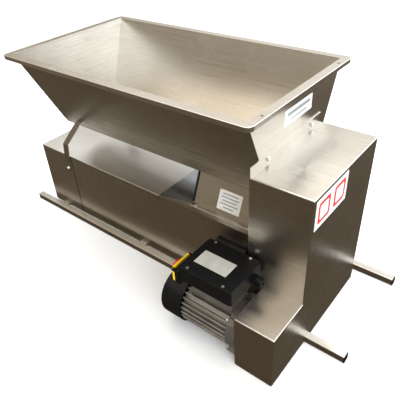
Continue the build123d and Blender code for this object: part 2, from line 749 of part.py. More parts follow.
def arm_places():
    """Positions along the beater and turn angles of its arms, a quarter turn apart."""
    first = BODY_X + BEATER_FIRST_ARM
    step = (BODY_LENGTH - BEATER_FIRST_ARM - BEATER_LAST_ARM) / (BEATER_ARMS - 1)
    return [(first + i * step, 45 + 90 * i) for i in range(BEATER_ARMS)]


def beater_arms():
    """Round arms screwed into the beater shaft."""
    arms = []
    length = BEATER_RADIUS - PADDLE_RISE + ARM_SOCKET - SHAFT_RADIUS
    for x, turn in arm_places():
        arm = Pos(0, 0, SHAFT_RADIUS - ARM_SEAT + length / 2) * Cylinder(ARM_RADIUS, length)
        arms.append(Pos(x, CY, BEATER_Z) * Rot(turn, 0, 0) * arm)
    return arms


def beater_paddles():
    """Rubber paddles on the arm ends, slightly twisted so that they push the stems along."""
    paddles = []
    base = BEATER_RADIUS - PADDLE_RISE
    for x, turn in arm_places():
        paddle = Pos(0, 0, base + PADDLE_RISE / 2) * Box(PADDLE_LENGTH, PADDLE_THICKNESS, PADDLE_RISE)
        paddle = fillet(paddle.edges().filter_by(Axis.Y).group_by(Axis.Z)[-1], PADDLE_CORNER)
        paddle -= Pos(0, 0, base) * Cylinder(ARM_RADIUS, 2 * ARM_SOCKET)
        paddles.append(Pos(x, CY, BEATER_Z) * Rot(turn, 0, 0) * Rot(0, 0, PADDLE_TWIST) * paddle)
    return paddles


def flange_bearing(x, way, axis):
    """Round flange bearing on a plate face at x, its boss standing off in direction way."""
    seat, step, end = x, x + way * BEARING_FLANGE, x + way * (BEARING_FLANGE + BEARING_BOSS)
    flange = rod(min(seat, step), max(seat, step), axis, BEARING_FLANGE_RADIUS)
    boss = rod(min(step, end), max(step, end), axis, BEARING_BOSS_RADIUS)
    low, high = min(seat, end) - 1, max(seat, end) + 1
    body = flange + boss - rod(low, high, axis, SHAFT_RADIUS + RUNNING)
    for side in (-1, 1):
        hole = (axis[0], axis[1] + side * (BEARING_FLANGE_RADIUS - BEARING_HOLE_INSET))
        body -= rod(low, high, hole, BEARING_HOLE)
    return body


def flange_bearings():
    """Bearings on the gear plate, the outlet bracket and the hopper's left wall."""
    names = ("beater", "auger", "front_roller", "rear_roller")
    bearings = [flange_bearing(HOUSING_X0, 1, AXES[name]) for name in names]
    bearings.append(flange_bearing(BODY_X - SHEET - BRACKET_THICKNESS, -1, AXES["beater"]))
    bearings.append(flange_bearing(HOPPER_FLOOR_X0, -1, AXES["auger"]))
    return bearings


def roller_bushes():
    """Bronze bushes of the two rollers at the left end of their box."""
    bushes = []
    for name in ("front_roller", "rear_roller"):
        x0, x1 = ROLLER_BOX_X - BUSH_LENGTH, ROLLER_BOX_X
        bushes.append(ring(x0, x1, AXES[name], BUSH_RADIUS, SHAFT_RADIUS + RUNNING))
    return bushes


# ---- Gears, chains and belt --------------------------------------------------------------------


def toothed_face(teeth, root, tip, root_share, tip_share, turn):
    """Outline of a toothed wheel; the shares are the parts of a pitch that a tooth fills."""
    points = []
    pitch = 2 * math.pi / teeth
    for i in range(teeth):
        middle = turn + i * pitch
        corners = ((root, -root_share), (tip, -tip_share), (tip, tip_share), (root, root_share))
        for radius, share in corners:
            angle = middle + share * pitch / 2
            points.append((radius * math.cos(angle), radius * math.sin(angle)))
    return outline(points)


def roller_gear(name, turn):
    """Spur gear of a roller; the pair makes the rollers turn against each other."""
    teeth = round(ROLLER_SPACING / GEAR_MODULE)
    pitch_radius = ROLLER_SPACING / 2
    root = pitch_radius - GEAR_ROOT * GEAR_MODULE
    tip = pitch_radius + GEAR_TIP * GEAR_MODULE
    slack = GEAR_BACKLASH / (math.pi * GEAR_MODULE)
    phase = turn * math.pi / teeth
    face = toothed_face(teeth, root, tip, GEAR_ROOT_SHARE - slack, GEAR_TIP_SHARE - slack, phase)
    x0 = PLATE_X + GEAR_LAYER
    y, z = AXES[name]
    wheel = prism(Pos(y, z) * face, x0, x0 + GEAR_WIDTH)
    return wheel - rod(x0 - 1, x0 + GEAR_WIDTH + 1, (y, z), SHAFT_RADIUS)


def sprocket(axis, radius, layer):
    """Chain wheel whose teeth stay inside the chain band."""
    teeth = max(9, round(radius / SPROCKET_PITCH_RADIUS))
    face = toothed_face(teeth, radius - SPROCKET_TOOTH, radius, 0.8, 0.3, 0)
    x0 = PLATE_X + layer
    wheel = prism(Pos(*axis) * face, x0, x0 + CHAIN_WIDTH)
    return wheel - rod(x0 - 1, x0 + CHAIN_WIDTH + 1, axis, SHAFT_RADIUS)


def loop_face(near, near_radius, far, far_radius):
    """Region wrapped tightly round two circles."""
    run = (far[0] - near[0], far[1] - near[1])
    base = math.atan2(run[1], run[0])
    lean = math.acos((near_radius - far_radius) / math.hypot(*run))

    def point(center, radius, angle):
        return (center[0] + radius * math.cos(angle), center[1] + radius * math.sin(angle))

    first, second = point(near, near_radius, base + lean), point(far, far_radius, base + lean)
    third, fourth = point(far, far_radius, base - lean), point(near, near_radius, base - lean)
    edges = [
        Line(first, second),
        ThreePointArc(second, point(far, far_radius, base), third),
        Line(third, fourth),
        ThreePointArc(fourth, point(near, near_radius, base + math.pi), first),
    ]
    return make_face(edges)


def loop_band(near, near_radius, far, far_radius, thickness, x0, x1):
    """Closed band of a belt or chain round two wheels."""
    outer = loop_face(near, near_radius + thickness, far, far_radius + thickness)
    inner = loop_face(near, near_radius, far, far_radius)
    return prism(outer - inner, x0, x1)


def drive_chains():
    """Lower chain from beater to front roller, upper chain from front roller to auger."""
    lower = PLATE_X + LOWER_CHAIN_LAYER
    upper = PLATE_X + UPPER_CHAIN_LAYER
    first = loop_band(AXES["beater"], BEATER_SPROCKET + GAP, AXES["front_roller"],
                      ROLLER_SPROCKET_IN + GAP, CHAIN_THICKNESS, lower, lower + CHAIN_WIDTH)
    second = loop_band(AXES["front_roller"], ROLLER_SPROCKET_OUT + GAP, AXES["auger"],
                       AUGER_SPROCKET + GAP, CHAIN_THICKNESS, upper, upper + CHAIN_WIDTH)
    return [first, second]


def pulley(axis, radius, bore):
    """V-belt pulley with a groove that the belt lies in."""
    x0 = PLATE_X + BELT_LAYER
    x1 = x0 + PULLEY_WIDTH
    middle = (x0 + x1) / 2
    half = BELT_WIDTH / 2 + GAP
    floor = radius - BELT_THICKNESS - GAP
    groove = ring(middle - half, middle + half, axis, radius + 1, floor)
    wheel = rod(x0, x1, axis, radius) - groove - rod(x0 - 1, x1 + 1, axis, bore)
    if radius > 3 * bore:
        for way, end in ((1, x0), (-1, x1)):
            low, high = sorted((end - way, end + way * PULLEY_WIDTH / 3))
            wheel -= ring(low, high, axis, radius - 2 * BELT_THICKNESS, bore + PULLEY_HUB)
    return wheel


def drive_belt():
    """V-belt from the motor pulley to the beater pulley."""
    middle = PLATE_X + BELT_LAYER + PULLEY_WIDTH / 2
    return loop_band(AXES["motor"], MOTOR_PULLEY_RADIUS - BELT_THICKNESS, AXES["beater"],
                     BEATER_PULLEY_RADIUS - BELT_THICKNESS, BELT_THICKNESS,
                     middle - BELT_WIDTH / 2, middle + BELT_WIDTH / 2)


# ---- Drive housing -----------------------------------------------------------------------------


def bent_box(x0, x1, y0, y1, z0, z1, bend):
    """Box whose top and right edges are rounded as folded sheet; its left top edge only if bend says so."""
    shape = block(x0, x1, y0, y1, z0, z1)
    chosen = []
    for edge in shape.edges():
        middle = edge.center()
        at_top, at_floor = middle.Z > z1 - 1, middle.Z < z0 + 1
        at_right, at_left = middle.X > x1 - 1, middle.X < x0 + 1
        if (at_top and not at_left) or (at_right and not at_floor) or (bend and at_left and not at_floor):
            chosen.append(edge)
    return fillet(chosen, BEND_RADIUS)


def gear_housing():
    """Sheet cover over the drive, open towards the plate and the floor, with the low guard in front."""
    x0, x1 = HOUSING_X0, HOUSING_X1
    y0, y1 = CY - HOUSING_FRONT, CY + HOUSING_REAR
    front = CY - GUARD_FRONT
    tall = bent_box(x0, x1, y0, y1, HOUSING_FLOOR, HOUSING_TOP, False)
    overlap = 2 * BEND_RADIUS
    low = bent_box(GUARD_X0, x1, front, y0 + overlap, HOUSING_FLOOR, GUARD_TOP, True)
    low -= block(GUARD_X0 - 1, x1 - overlap, y0 + SHEET, y0 + overlap + 1, 0, GUARD_TOP + 1)
    tall_inside = block(x0 - 1, x1 - SHEET, y0 + SHEET, y1 - SHEET, -1, HOUSING_TOP - SHEET)
    low_inside = block(
        GUARD_X0 - 1, x1 - SHEET, front + SHEET, y0 + SHEET + 1, -1, GUARD_TOP - SHEET
    )
    cover = tall + low - tall_inside - low_inside
    bar_y = CY - BAR_GAUGE / 2
    notch = BAR_SIZE / 2 + GAP
    return cover - block(x0 - 1, x1 + 1, bar_y - notch, bar_y + notch, -1, BAR_SIZE + GAP)


def motor_plate():
    """Thick plate that closes the guard's left side and carries the motor."""
    x1 = GUARD_X0 + MOTOR_PLATE
    y0 = CY - GUARD_FRONT + SHEET + GAP
    y1 = CY - HOUSING_FRONT + MOTOR_PLATE_REAR
    plate = block(GUARD_X0, x1, y0, y1, BAR_SIZE + MOTOR_PLATE_LIFT, GUARD_TOP - SHEET - GAP)
    plate -= rod(GUARD_X0 - 1, x1 + 1, AXES["motor"], ROTOR_SHAFT_RADIUS + SHAFT_CLEARANCE)
    return plate


def plate_spacers():
    """Round spacers between the gear plate and the motor plate."""
    y = CY - HOUSING_FRONT + SPACER_Y
    heights = (BAR_SIZE + SPACER_LOW, GUARD_TOP - SPACER_HIGH)
    return [rod(HOUSING_X0, GUARD_X0, (y, z), SPACER_RADIUS) for z in heights]


# ---- Motor -------------------------------------------------------------------------------------


def motor_body():
    """Finned barrel with a closed left end and an upright pad under the terminal box."""
    x0, x1 = MOTOR_BODY_X0, MOTOR_BODY_X1
    axis = AXES["motor"]
    body = rod(x0, x1, axis, MOTOR_BARREL_RADIUS)
    reach = MOTOR_FIN_RADIUS - MOTOR_BARREL_RADIUS + MOTOR_FIN_ROOT
    fin = Pos(0, 0, MOTOR_FIN_RADIUS - reach / 2) * Box(x1 - x0, MOTOR_FIN_THICKNESS, reach)
    fin = fillet(fin.edges().filter_by(Axis.X).group_by(Axis.Z)[-1], MOTOR_FIN_THICKNESS * 0.4)
    for i in range(MOTOR_FINS):
        body += Pos((x0 + x1) / 2, *axis) * Rot(360.0 * i / MOTOR_FINS, 0, 0) * fin
    pad_x0 = BOX_X0 + 2 * BOX_WALL
    low, high = MOTOR_Y - MOTOR_PAD_HALF, MOTOR_Y + MOTOR_PAD_HALF
    body += block(pad_x0, x1, low, high, MOTOR_Z + MOTOR_PAD_HALF, BOX_FLOOR)
    body -= rod(x0 + MOTOR_BACK_WALL, x1 + 1, axis, MOTOR_BORE_RADIUS)
    return body - rod(x0 - 1, x0 + MOTOR_BACK_WALL + 1, axis, ROTOR_SHAFT_RADIUS + RUNNING)


def motor_flange():
    """Drive-end shield between the barrel and the motor plate, with four bolt lugs."""
    x0, x1 = MOTOR_BODY_X1, GUARD_X0
    axis = AXES["motor"]
    shield = rod(x0, x1, axis, MOTOR_FIN_RADIUS - 1)
    lug = Pos(0, 0, MOTOR_FIN_RADIUS) * Box(x1 - x0 - LUG_SETBACK, LUG_WIDTH, LUG_HEIGHT)
    for i in range(4):
        shield += Pos((x0 + x1) / 2, *axis) * Rot(45 + 90 * i, 0, 0) * lug
    return shield - rod(x0 - 1, x1 + 1, axis, ROTOR_SHAFT_RADIUS + RUNNING)


def fan_cover():
    """Round cup over the fan, with air slots in its end."""
    x0, x1 = MOTOR_X0, MOTOR_BODY_X0
    axis = AXES["motor"]
    cup = rod(x0, x1, axis, MOTOR_COVER_RADIUS)
    cup = fillet(cup.edges().filter_by(GeomType.CIRCLE).group_by(Axis.X)[0], COVER_CORNER)
    hollow = rod(x0 + SHEET, x1 + 1, axis, MOTOR_COVER_RADIUS - SHEET)
    cup -= fillet(hollow.edges().filter_by(GeomType.CIRCLE).group_by(Axis.X)[0], COVER_CORNER - SHEET)
    slot = Pos(0, 0, SLOT_RADIUS) * Box(4 * SHEET, SLOT_WIDTH, SLOT_LENGTH)
    for i in range(COVER_SLOTS):
        cup -= Pos(x0, *axis) * Rot(360.0 * i / COVER_SLOTS, 0, 0) * slot
    return cup


def core_ends():
    """Left and right ends of the stator and rotor stacks."""
    return MOTOR_BODY_X0 + CORE_MARGIN, MOTOR_BODY_X1 - CORE_MARGIN


def stator_core():
    """Ring of stator sheets pressed into the barrel."""
    return ring(*core_ends(), AXES["motor"], MOTOR_BORE_RADIUS, ROTOR_RADIUS + AIR_GAP)


def rotor_core():
    """Rotor on the motor shaft."""
    return ring(*core_ends(), AXES["motor"], ROTOR_RADIUS, ROTOR_SHAFT_RADIUS)


def rotor_shaft():
    """Motor shaft from the fan to the small pulley."""
    x1 = PLATE_X + BELT_LAYER + PULLEY_WIDTH + 2 * SHEET
    return rod(MOTOR_X0 + COVER_CORNER, x1, AXES["motor"], ROTOR_SHAFT_RADIUS)


def motor_fan():
    """Fan hub with straight blades."""
    x0, x1 = MOTOR_X0 + 2 * MOTOR_BACK_WALL, MOTOR_BODY_X0 - MOTOR_BACK_WALL
    axis = AXES["motor"]
    fan = rod(x0, x1, axis, FAN_HUB_RADIUS)
    root = FAN_HUB_RADIUS - SHEET
    blade = Pos(0, 0, (FAN_RADIUS + root) / 2) * Box(x1 - x0, FAN_BLADE, FAN_RADIUS - root)
    for i in range(FAN_BLADES):
        fan += Pos((x0 + x1) / 2, *axis) * Rot(360.0 * i / FAN_BLADES, 0, 0) * blade
    return fan - rod(x0 - 1, x1 + 1, axis, ROTOR_SHAFT_RADIUS)


# ---- Terminal box and switch -------------------------------------------------------------------


def box_shell(z0, z1, open_up):
    """Rounded box hollowed from one side."""
    whole = block(BOX_X0, BOX_X1, BOX_Y0, BOX_Y1, z0, z1)
    whole = fillet(whole.edges().filter_by(Axis.Z), BOX_CORNER)
    low, high = (z0 + BOX_WALL, z1 + 1) if open_up else (z0 - 1, z1 - BOX_WALL)
    w = BOX_WALL
    return whole - block(BOX_X0 + w, BOX_X1 - w, BOX_Y0 + w, BOX_Y1 - w, low, high)


def lid_screw_places():
    """Centres of the four lid screws."""
    across = (BOX_X0 + LID_SCREW_INSET_LEFT, BOX_X1 - LID_SCREW_INSET_RIGHT)
    return [(x, y) for x in across for y in (BOX_Y0 + LID_SCREW_INSET_Y, BOX_Y1 - LID_SCREW_INSET_Y)]


def terminal_box():
    """Lower half of the terminal box with screw posts and the capacitor's saddle."""
    box = box_shell(BOX_FLOOR, BOX_SPLIT, True)
    for x, y in lid_screw_places():
        box += Pos(x, y, (BOX_FLOOR + BOX_SPLIT) / 2) * Cylinder(LID_POST_RADIUS, BOX_SPLIT - BOX_FLOOR)
        box -= Pos(x, y, BOX_SPLIT) * Cylinder(LID_SCREW_RADIUS + 0.1, 2 * (BOX_SPLIT - BOX_FLOOR) - 8)
    box -= rod(BOX_X1 - 2 * BOX_WALL, BOX_X1 + 1, gland_axis(), GLAND_THREAD)
    x0 = BOX_X0 + CAPACITOR_INSET + CAPACITOR_LENGTH / 2 - SADDLE_WIDTH / 2
    x1 = x0 + SADDLE_WIDTH
    saddle = block(x0, x1, BOX_Y1 - 1, BOX_Y1 + SADDLE_DEPTH, BOX_FLOOR, BOX_SPLIT)
    return box + (saddle - rod(x0 - 1, x1 + 1, capacitor_axis(), CAPACITOR_RADIUS))


def terminal_lid():
    """Raised lid of the terminal box."""
    lid = box_shell(BOX_SPLIT, BOX_TOP, False)
    lid = fillet(lid.edges().group_by(Axis.Z)[-1], LID_EDGE)
    post_top = BOX_TOP - BOX_WALL
    for x, y in lid_screw_places():
        lid += Pos(x, y, (BOX_SPLIT + post_top) / 2) * Cylinder(LID_POST_RADIUS, post_top - BOX_SPLIT)
        lid -= Pos(x, y, BOX_TOP) * Cylinder(LID_SCREW_RADIUS + 0.1, 3 * (BOX_TOP - BOX_SPLIT))
    return lid


def lid_screws():
    """Pan-head screws in the lid's corners."""
    screws = []
    shank = BOX_TOP - BOX_SPLIT + LID_POST_RADIUS
    for x, y in lid_screw_places():
        middle = BOX_TOP + LID_SCREW_HEAD_HEIGHT / 2
        head = Pos(x, y, middle) * Cylinder(LID_SCREW_HEAD, LID_SCREW_HEAD_HEIGHT)
        screws.append(head + Pos(x, y, BOX_TOP - shank / 2) * Cylinder(LID_SCREW_RADIUS, shank))
    return screws


def nameplate():
    """Blank metal plate on the lid."""
    x0 = BOX_X0 + NAMEPLATE_INSET_X
    y0 = BOX_Y0 + NAMEPLATE_INSET_Y
    return block(x0, x0 + NAMEPLATE_LENGTH, y0, y0 + NAMEPLATE_DEPTH, BOX_TOP, BOX_TOP + NAMEPLATE_THICKNESS)


def gland_axis():
    """Axis of the cable gland on the box's right side."""
    return (BOX_Y1 - GLAND_INSET, (BOX_FLOOR + BOX_SPLIT) / 2)


def cable_gland():
    """Empty cable gland with a hexagon and a domed nut."""
    axis = gland_axis()
    x1 = BOX_X1 + GLAND_LENGTH
    thread = rod(BOX_X1 - BOX_WALL, BOX_X1, axis, GLAND_THREAD)
    hexagon = prism(Pos(*axis) * RegularPolygon(GLAND_RADIUS, 6), BOX_X1, BOX_X1 + GLAND_HEXAGON)
    nut = rod(BOX_X1 + GLAND_HEXAGON, x1, axis, GLAND_NUT)
    nut = fillet(nut.edges().filter_by(GeomType.CIRCLE).group_by(Axis.X)[-1], GLAND_EDGE)
    return thread + hexagon + nut - rod(BOX_X1 - 2 * BOX_WALL, x1 + 1, axis, GLAND_BORE)


def capacitor_axis():
    """Axis of the capacitor behind the box."""
    return (BOX_Y1 + CAPACITOR_RADIUS + GAP, BOX_SPLIT - BOX_WALL)


def capacitor():
    """Run capacitor lying in its saddle behind the terminal box."""
    x0 = BOX_X0 + CAPACITOR_INSET
    x1 = min(x0 + CAPACITOR_LENGTH, PLATE_X - CAPACITOR_INSET)
    can = rod(x0, x1, capacitor_axis(), CAPACITOR_RADIUS)
    return fillet(can.edges().filter_by(GeomType.CIRCLE), 2 * SHEET)


def switch_housing():
    """Switch body on the box's left side, with two button wells and the ears of the flap's hinge."""
    y0, y1 = BOX_Y0, BOX_Y0 + SWITCH_DEPTH
    z0, z1 = SWITCH_FLOOR, SWITCH_FLOOR + SWITCH_HEIGHT
    body = block(SWITCH_FACE_X, BOX_X0, y0, y1, z0, z1)
    body = fillet(body.edges().filter_by(Axis.X), SWITCH_CORNER)
    half = BUTTON_SIZE / 2 + BUTTON_PLAY
    for side in (-1, 1):
        y = SWITCH_Y + side * BUTTON_OFFSET
        low, high = SWITCH_Z - half, SWITCH_Z + half
        body -= block(SWITCH_FACE_X - 1, BOX_X0 - WELL_BACK, y - half, y + half, low, high)
    for y in (y0, y1 - EAR_THICKNESS):
        low, high = HINGE_Z - EAR_DROP, HINGE_Z + EAR_RISE
        body += block(FLAP_X0, SWITCH_FACE_X + EAR_ROOT, y, y + EAR_THICKNESS, low, high)
    bore = Cylinder(HINGE_PIN + RUNNING, 2 * SWITCH_DEPTH)
    return body - Pos(HINGE_X, SWITCH_Y, HINGE_Z) * Rot(90, 0, 0) * bore


def push_button(side):
    """Square push button standing proud of the switch face by its travel."""
    y = SWITCH_Y + side * BUTTON_OFFSET
    half = BUTTON_SIZE / 2
    back = BOX_X0 - WELL_BACK - BUTTON_TRAVEL - GAP
    return block(SWITCH_FACE_X - BUTTON_TRAVEL, back, y - half, y + half, SWITCH_Z - half, SWITCH_Z + half)


def flap():
    """Hinged cover over the buttons, with its barrel and pin, and a hole for the mushroom's stem."""
    half = SWITCH_DEPTH / 2 - EAR_THICKNESS - GAP
    plate = block(FLAP_X0, FLAP_X1, SWITCH_Y - half, SWITCH_Y + half, SWITCH_FLOOR, HINGE_Z)
    plate = fillet(plate.edges().filter_by(Axis.X).group_by(Axis.Z)[0], FLAP_CORNER)
    hinge = Pos(HINGE_X, SWITCH_Y, HINGE_Z) * Rot(90, 0, 0)
    barrel = hinge * Cylinder(FLAP_THICKNESS / 2, 2 * half)
    pin = hinge * Cylinder(HINGE_PIN, SWITCH_DEPTH)
    return plate + barrel + pin - rod(FLAP_X0 - 1, FLAP_X1 + 1, (SWITCH_Y, SWITCH_Z), MUSHROOM_STEM + GAP)


def mushroom():
    """Mushroom head on a stem that slides in the flap."""
    axis = (SWITCH_Y, SWITCH_Z)
    neck = FLAP_X0 - MUSHROOM_TRAVEL - MUSHROOM_GAP
    stem = rod(neck, FLAP_X0 + STEM_BITE, axis, MUSHROOM_STEM)
    head = rod(neck - MUSHROOM_HEIGHT, neck, axis, MUSHROOM_RADIUS)
    head = fillet(head.edges().filter_by(GeomType.CIRCLE).group_by(Axis.X)[0], MUSHROOM_HEIGHT / 2)
    return head + stem


# ---- Fasteners ---------------------------------------------------------------------------------


def screw_x(x, way, axis):
    """Hexagon-head screw along X with its head's underside at x, head in direction way."""
    ends = sorted((x, x + way * HEAD_HEIGHT))
    head = prism(Pos(*axis) * RegularPolygon(HEAD_RADIUS, 6), *ends)
    low, high = sorted((x, x - way * SCREW_SHANK))
    return head + rod(low, high, axis, SCREW_RADIUS)


def frame_screws():
    """Hexagon screws: hopper end to plate, straps to body, roller box feet to the ledge."""
    screws = [screw_x(HOUSING_X0, 1, (CY + y, strip_bolt_z())) for y in STRIP_BOLT_Y]
    for side in (-1, 1):
        head_y = CY + side * (HALF_BODY + HANGER_THICKNESS)
        head = Rot(-side * 90, 0, 0) * extrude(RegularPolygon(HEAD_RADIUS, 6), HEAD_HEIGHT)
        foot_x, foot_z = SEAM_X + HANGER_FOOT_X + STRAP_SCREW_X, BODY_TOP - HANGER_DROP + STRAP_SCREW_Z
        screws.append(Pos(foot_x, head_y, foot_z) * head)
        foot_y = CY + side * (HALF_FLOOR + BOX_FOOT / 2)
        for x in (ROLLER_BOX_X + FOOT_SCREW_LEFT, PLATE_X - FOOT_SCREW_RIGHT):
            head = extrude(RegularPolygon(HEAD_RADIUS, 6), HEAD_HEIGHT)
            screws.append(Pos(x, foot_y, BODY_TOP + SHEET) * head)
    return screws


def build():
    """Writes every node."""
    os.makedirs("parts", exist_ok=True)
    save("front_bar", support_bar(-1))
    save("rear_bar", support_bar(1))
    save("bar_end_plugs", *bar_plugs())
    save("cross_straps", *cross_straps())
    save("gear_plate", gear_plate())
    save("front_panel", front_panel())
    save("outlet_front_panel", side_panel(BODY_X, SEAM_X, -1))
    save("rear_panel", side_panel(BODY_X, PLATE_X, 1))
    save("outlet_end_plate", outlet_end_plate())
    save("top_cover", top_cover())
    save("throat_plate", throat_plate())
    save("destemming_screen", screen())
    save("outlet_bearing_bracket", outlet_bracket())
    save("hopper", *hopper())
    save("auger_trough", auger_trough())
    save("hopper_straps", hopper_strap(-1), hopper_strap(1))
    save("roller_box_front", roller_box_side(-1))
    save("roller_box_rear", roller_box_side(1))
    save("roller_end_plate", roller_end_plate())
    save("front_roller", roller("front_roller", 0.0))
    save("rear_roller", roller("rear_roller", math.pi))
    save("auger_shaft", auger_shaft())
    save("auger_flight", auger_flight())
    save("beater_shaft", beater_shaft())
    save("beater_arms", *beater_arms())
    save("beater_paddles", *beater_paddles())
    save("flange_bearings", *flange_bearings())
    save("roller_bushes", *roller_bushes())
    save("front_roller_gear", roller_gear("front_roller", 0.0))
    save("rear_roller_gear", roller_gear("rear_roller", 1.0))
    save("beater_sprocket", sprocket(AXES["beater"], BEATER_SPROCKET, LOWER_CHAIN_LAYER))
    save("roller_sprockets",
         sprocket(AXES["front_roller"], ROLLER_SPROCKET_IN, LOWER_CHAIN_LAYER),
         sprocket(AXES["front_roller"], ROLLER_SPROCKET_OUT, UPPER_CHAIN_LAYER))
    save("auger_sprocket", sprocket(AXES["auger"], AUGER_SPROCKET, UPPER_CHAIN_LAYER))
    save("drive_chains", *drive_chains())
    save("beater_pulley", pulley(AXES["beater"], BEATER_PULLEY_RADIUS, SHAFT_RADIUS))
    save("motor_pulley", pulley(AXES["motor"], MOTOR_PULLEY_RADIUS, ROTOR_SHAFT_RADIUS))
    save("drive_belt", drive_belt())
    save("gear_housing", gear_housing())
    save("motor_plate", motor_plate())
    save("plate_spacers", *plate_spacers())
    save("motor_body", motor_body())
    save("motor_flange", motor_flange())
    save("fan_cover", fan_cover())
    save("stator_core", stator_core())
    save("rotor_core", rotor_core())
    save("rotor_shaft", rotor_shaft())
    save("motor_fan", motor_fan())
    save("terminal_box", terminal_box())
    save("terminal_box_lid", terminal_lid())
    save("lid_screws", *lid_screws())
    save("nameplate", nameplate())
    save("cable_gland", cable_gland())
    save("capacitor", capacitor())
    save("switch_housing", switch_housing())
    save("start_button", push_button(1))
    save("stop_button", push_button(-1))
    save("estop_flap", flap())
    save("estop_mushroom", mushroom())
    save("frame_screws", *frame_screws())


build()
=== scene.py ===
import json
import math

import bmesh
import bpy
from mathutils import Matrix, Vector


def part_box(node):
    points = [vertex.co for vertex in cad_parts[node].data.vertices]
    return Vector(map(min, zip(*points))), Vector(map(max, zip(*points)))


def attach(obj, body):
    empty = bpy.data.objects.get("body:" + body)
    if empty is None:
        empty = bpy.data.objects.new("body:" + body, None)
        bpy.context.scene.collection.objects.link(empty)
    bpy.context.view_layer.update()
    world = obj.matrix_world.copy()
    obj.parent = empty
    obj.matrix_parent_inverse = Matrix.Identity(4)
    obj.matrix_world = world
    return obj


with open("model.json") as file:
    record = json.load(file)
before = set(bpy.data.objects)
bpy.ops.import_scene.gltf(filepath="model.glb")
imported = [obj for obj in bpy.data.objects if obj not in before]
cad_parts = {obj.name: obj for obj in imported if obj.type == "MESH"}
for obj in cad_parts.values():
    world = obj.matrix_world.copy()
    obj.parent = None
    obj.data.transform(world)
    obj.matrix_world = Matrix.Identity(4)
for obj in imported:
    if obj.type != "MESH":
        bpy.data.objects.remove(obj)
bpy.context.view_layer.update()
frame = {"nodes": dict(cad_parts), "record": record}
NODES = frame["nodes"]
MM = 0.001


# ---- Places read from the frame ----------------------------------------------------------------


def low(node):
    """Lowest corner of a node's box."""
    return Vector(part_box(node)[0])


def high(node):
    """Highest corner of a node's box."""
    return Vector(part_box(node)[1])


HOPPER_LOW, HOPPER_HIGH = low("hopper"), high("hopper")
HOUSING_HIGH = high("gear_housing")
PLATE_LOW = low("gear_plate")
CENTER_Y = (HOPPER_LOW.y + HOPPER_HIGH.y) / 2

# Sheet metal sizes of the CAD in millimetres, which the nodes' boxes don't give
SHEET_THICKNESS = 2
RIM_FLANGE = 24
RIM_LIP = 12
LEFT_DRAW = 32
BOX_FOOT = 14


# ---- Node graph helpers ------------------------------------------------------------------------

# Places of the Mix node's sockets, because its numbers and colours share their names
MIX_FACTOR = 0
NUMBER_A, NUMBER_B, NUMBER_OUT = 2, 3, 0
COLOR_A, COLOR_B, COLOR_OUT = 6, 7, 2


def feed(tree, socket, value):
    """Links a socket to another one, or sets it. A colour of three parts gets full alpha."""
    if isinstance(value, bpy.types.NodeSocket):
        tree.links.new(value, socket)
    elif socket.type == "RGBA" and len(value) == 3:
        socket.default_value = (*value, 1)
    else:
        socket.default_value = value


def dot(tree, first, second):
    """Dot product of two directions."""
    made = tree.nodes.new("ShaderNodeVectorMath")
    made.operation = "DOT_PRODUCT"
    feed(tree, made.inputs[0], first)
    feed(tree, made.inputs[1], second)
    return made.outputs["Value"]


def map_range(tree, value, start, end, first=0.0, last=1.0):
    """Value moved from one range to another, clamped."""
    made = tree.nodes.new("ShaderNodeMapRange")
    feed(tree, made.inputs["Value"], value)
    for name, number in (("From Min", start), ("From Max", end), ("To Min", first), ("To Max", last)):
        made.inputs[name].default_value = number
    return made.outputs["Result"]


def mix_color(tree, factor, first, second):
    """Colour between two colours."""
    made = tree.nodes.new("ShaderNodeMix")
    made.data_type = "RGBA"
    feed(tree, made.inputs[MIX_FACTOR], factor)
    feed(tree, made.inputs[COLOR_A], first)
    feed(tree, made.inputs[COLOR_B], second)
    return made.outputs[COLOR_OUT]


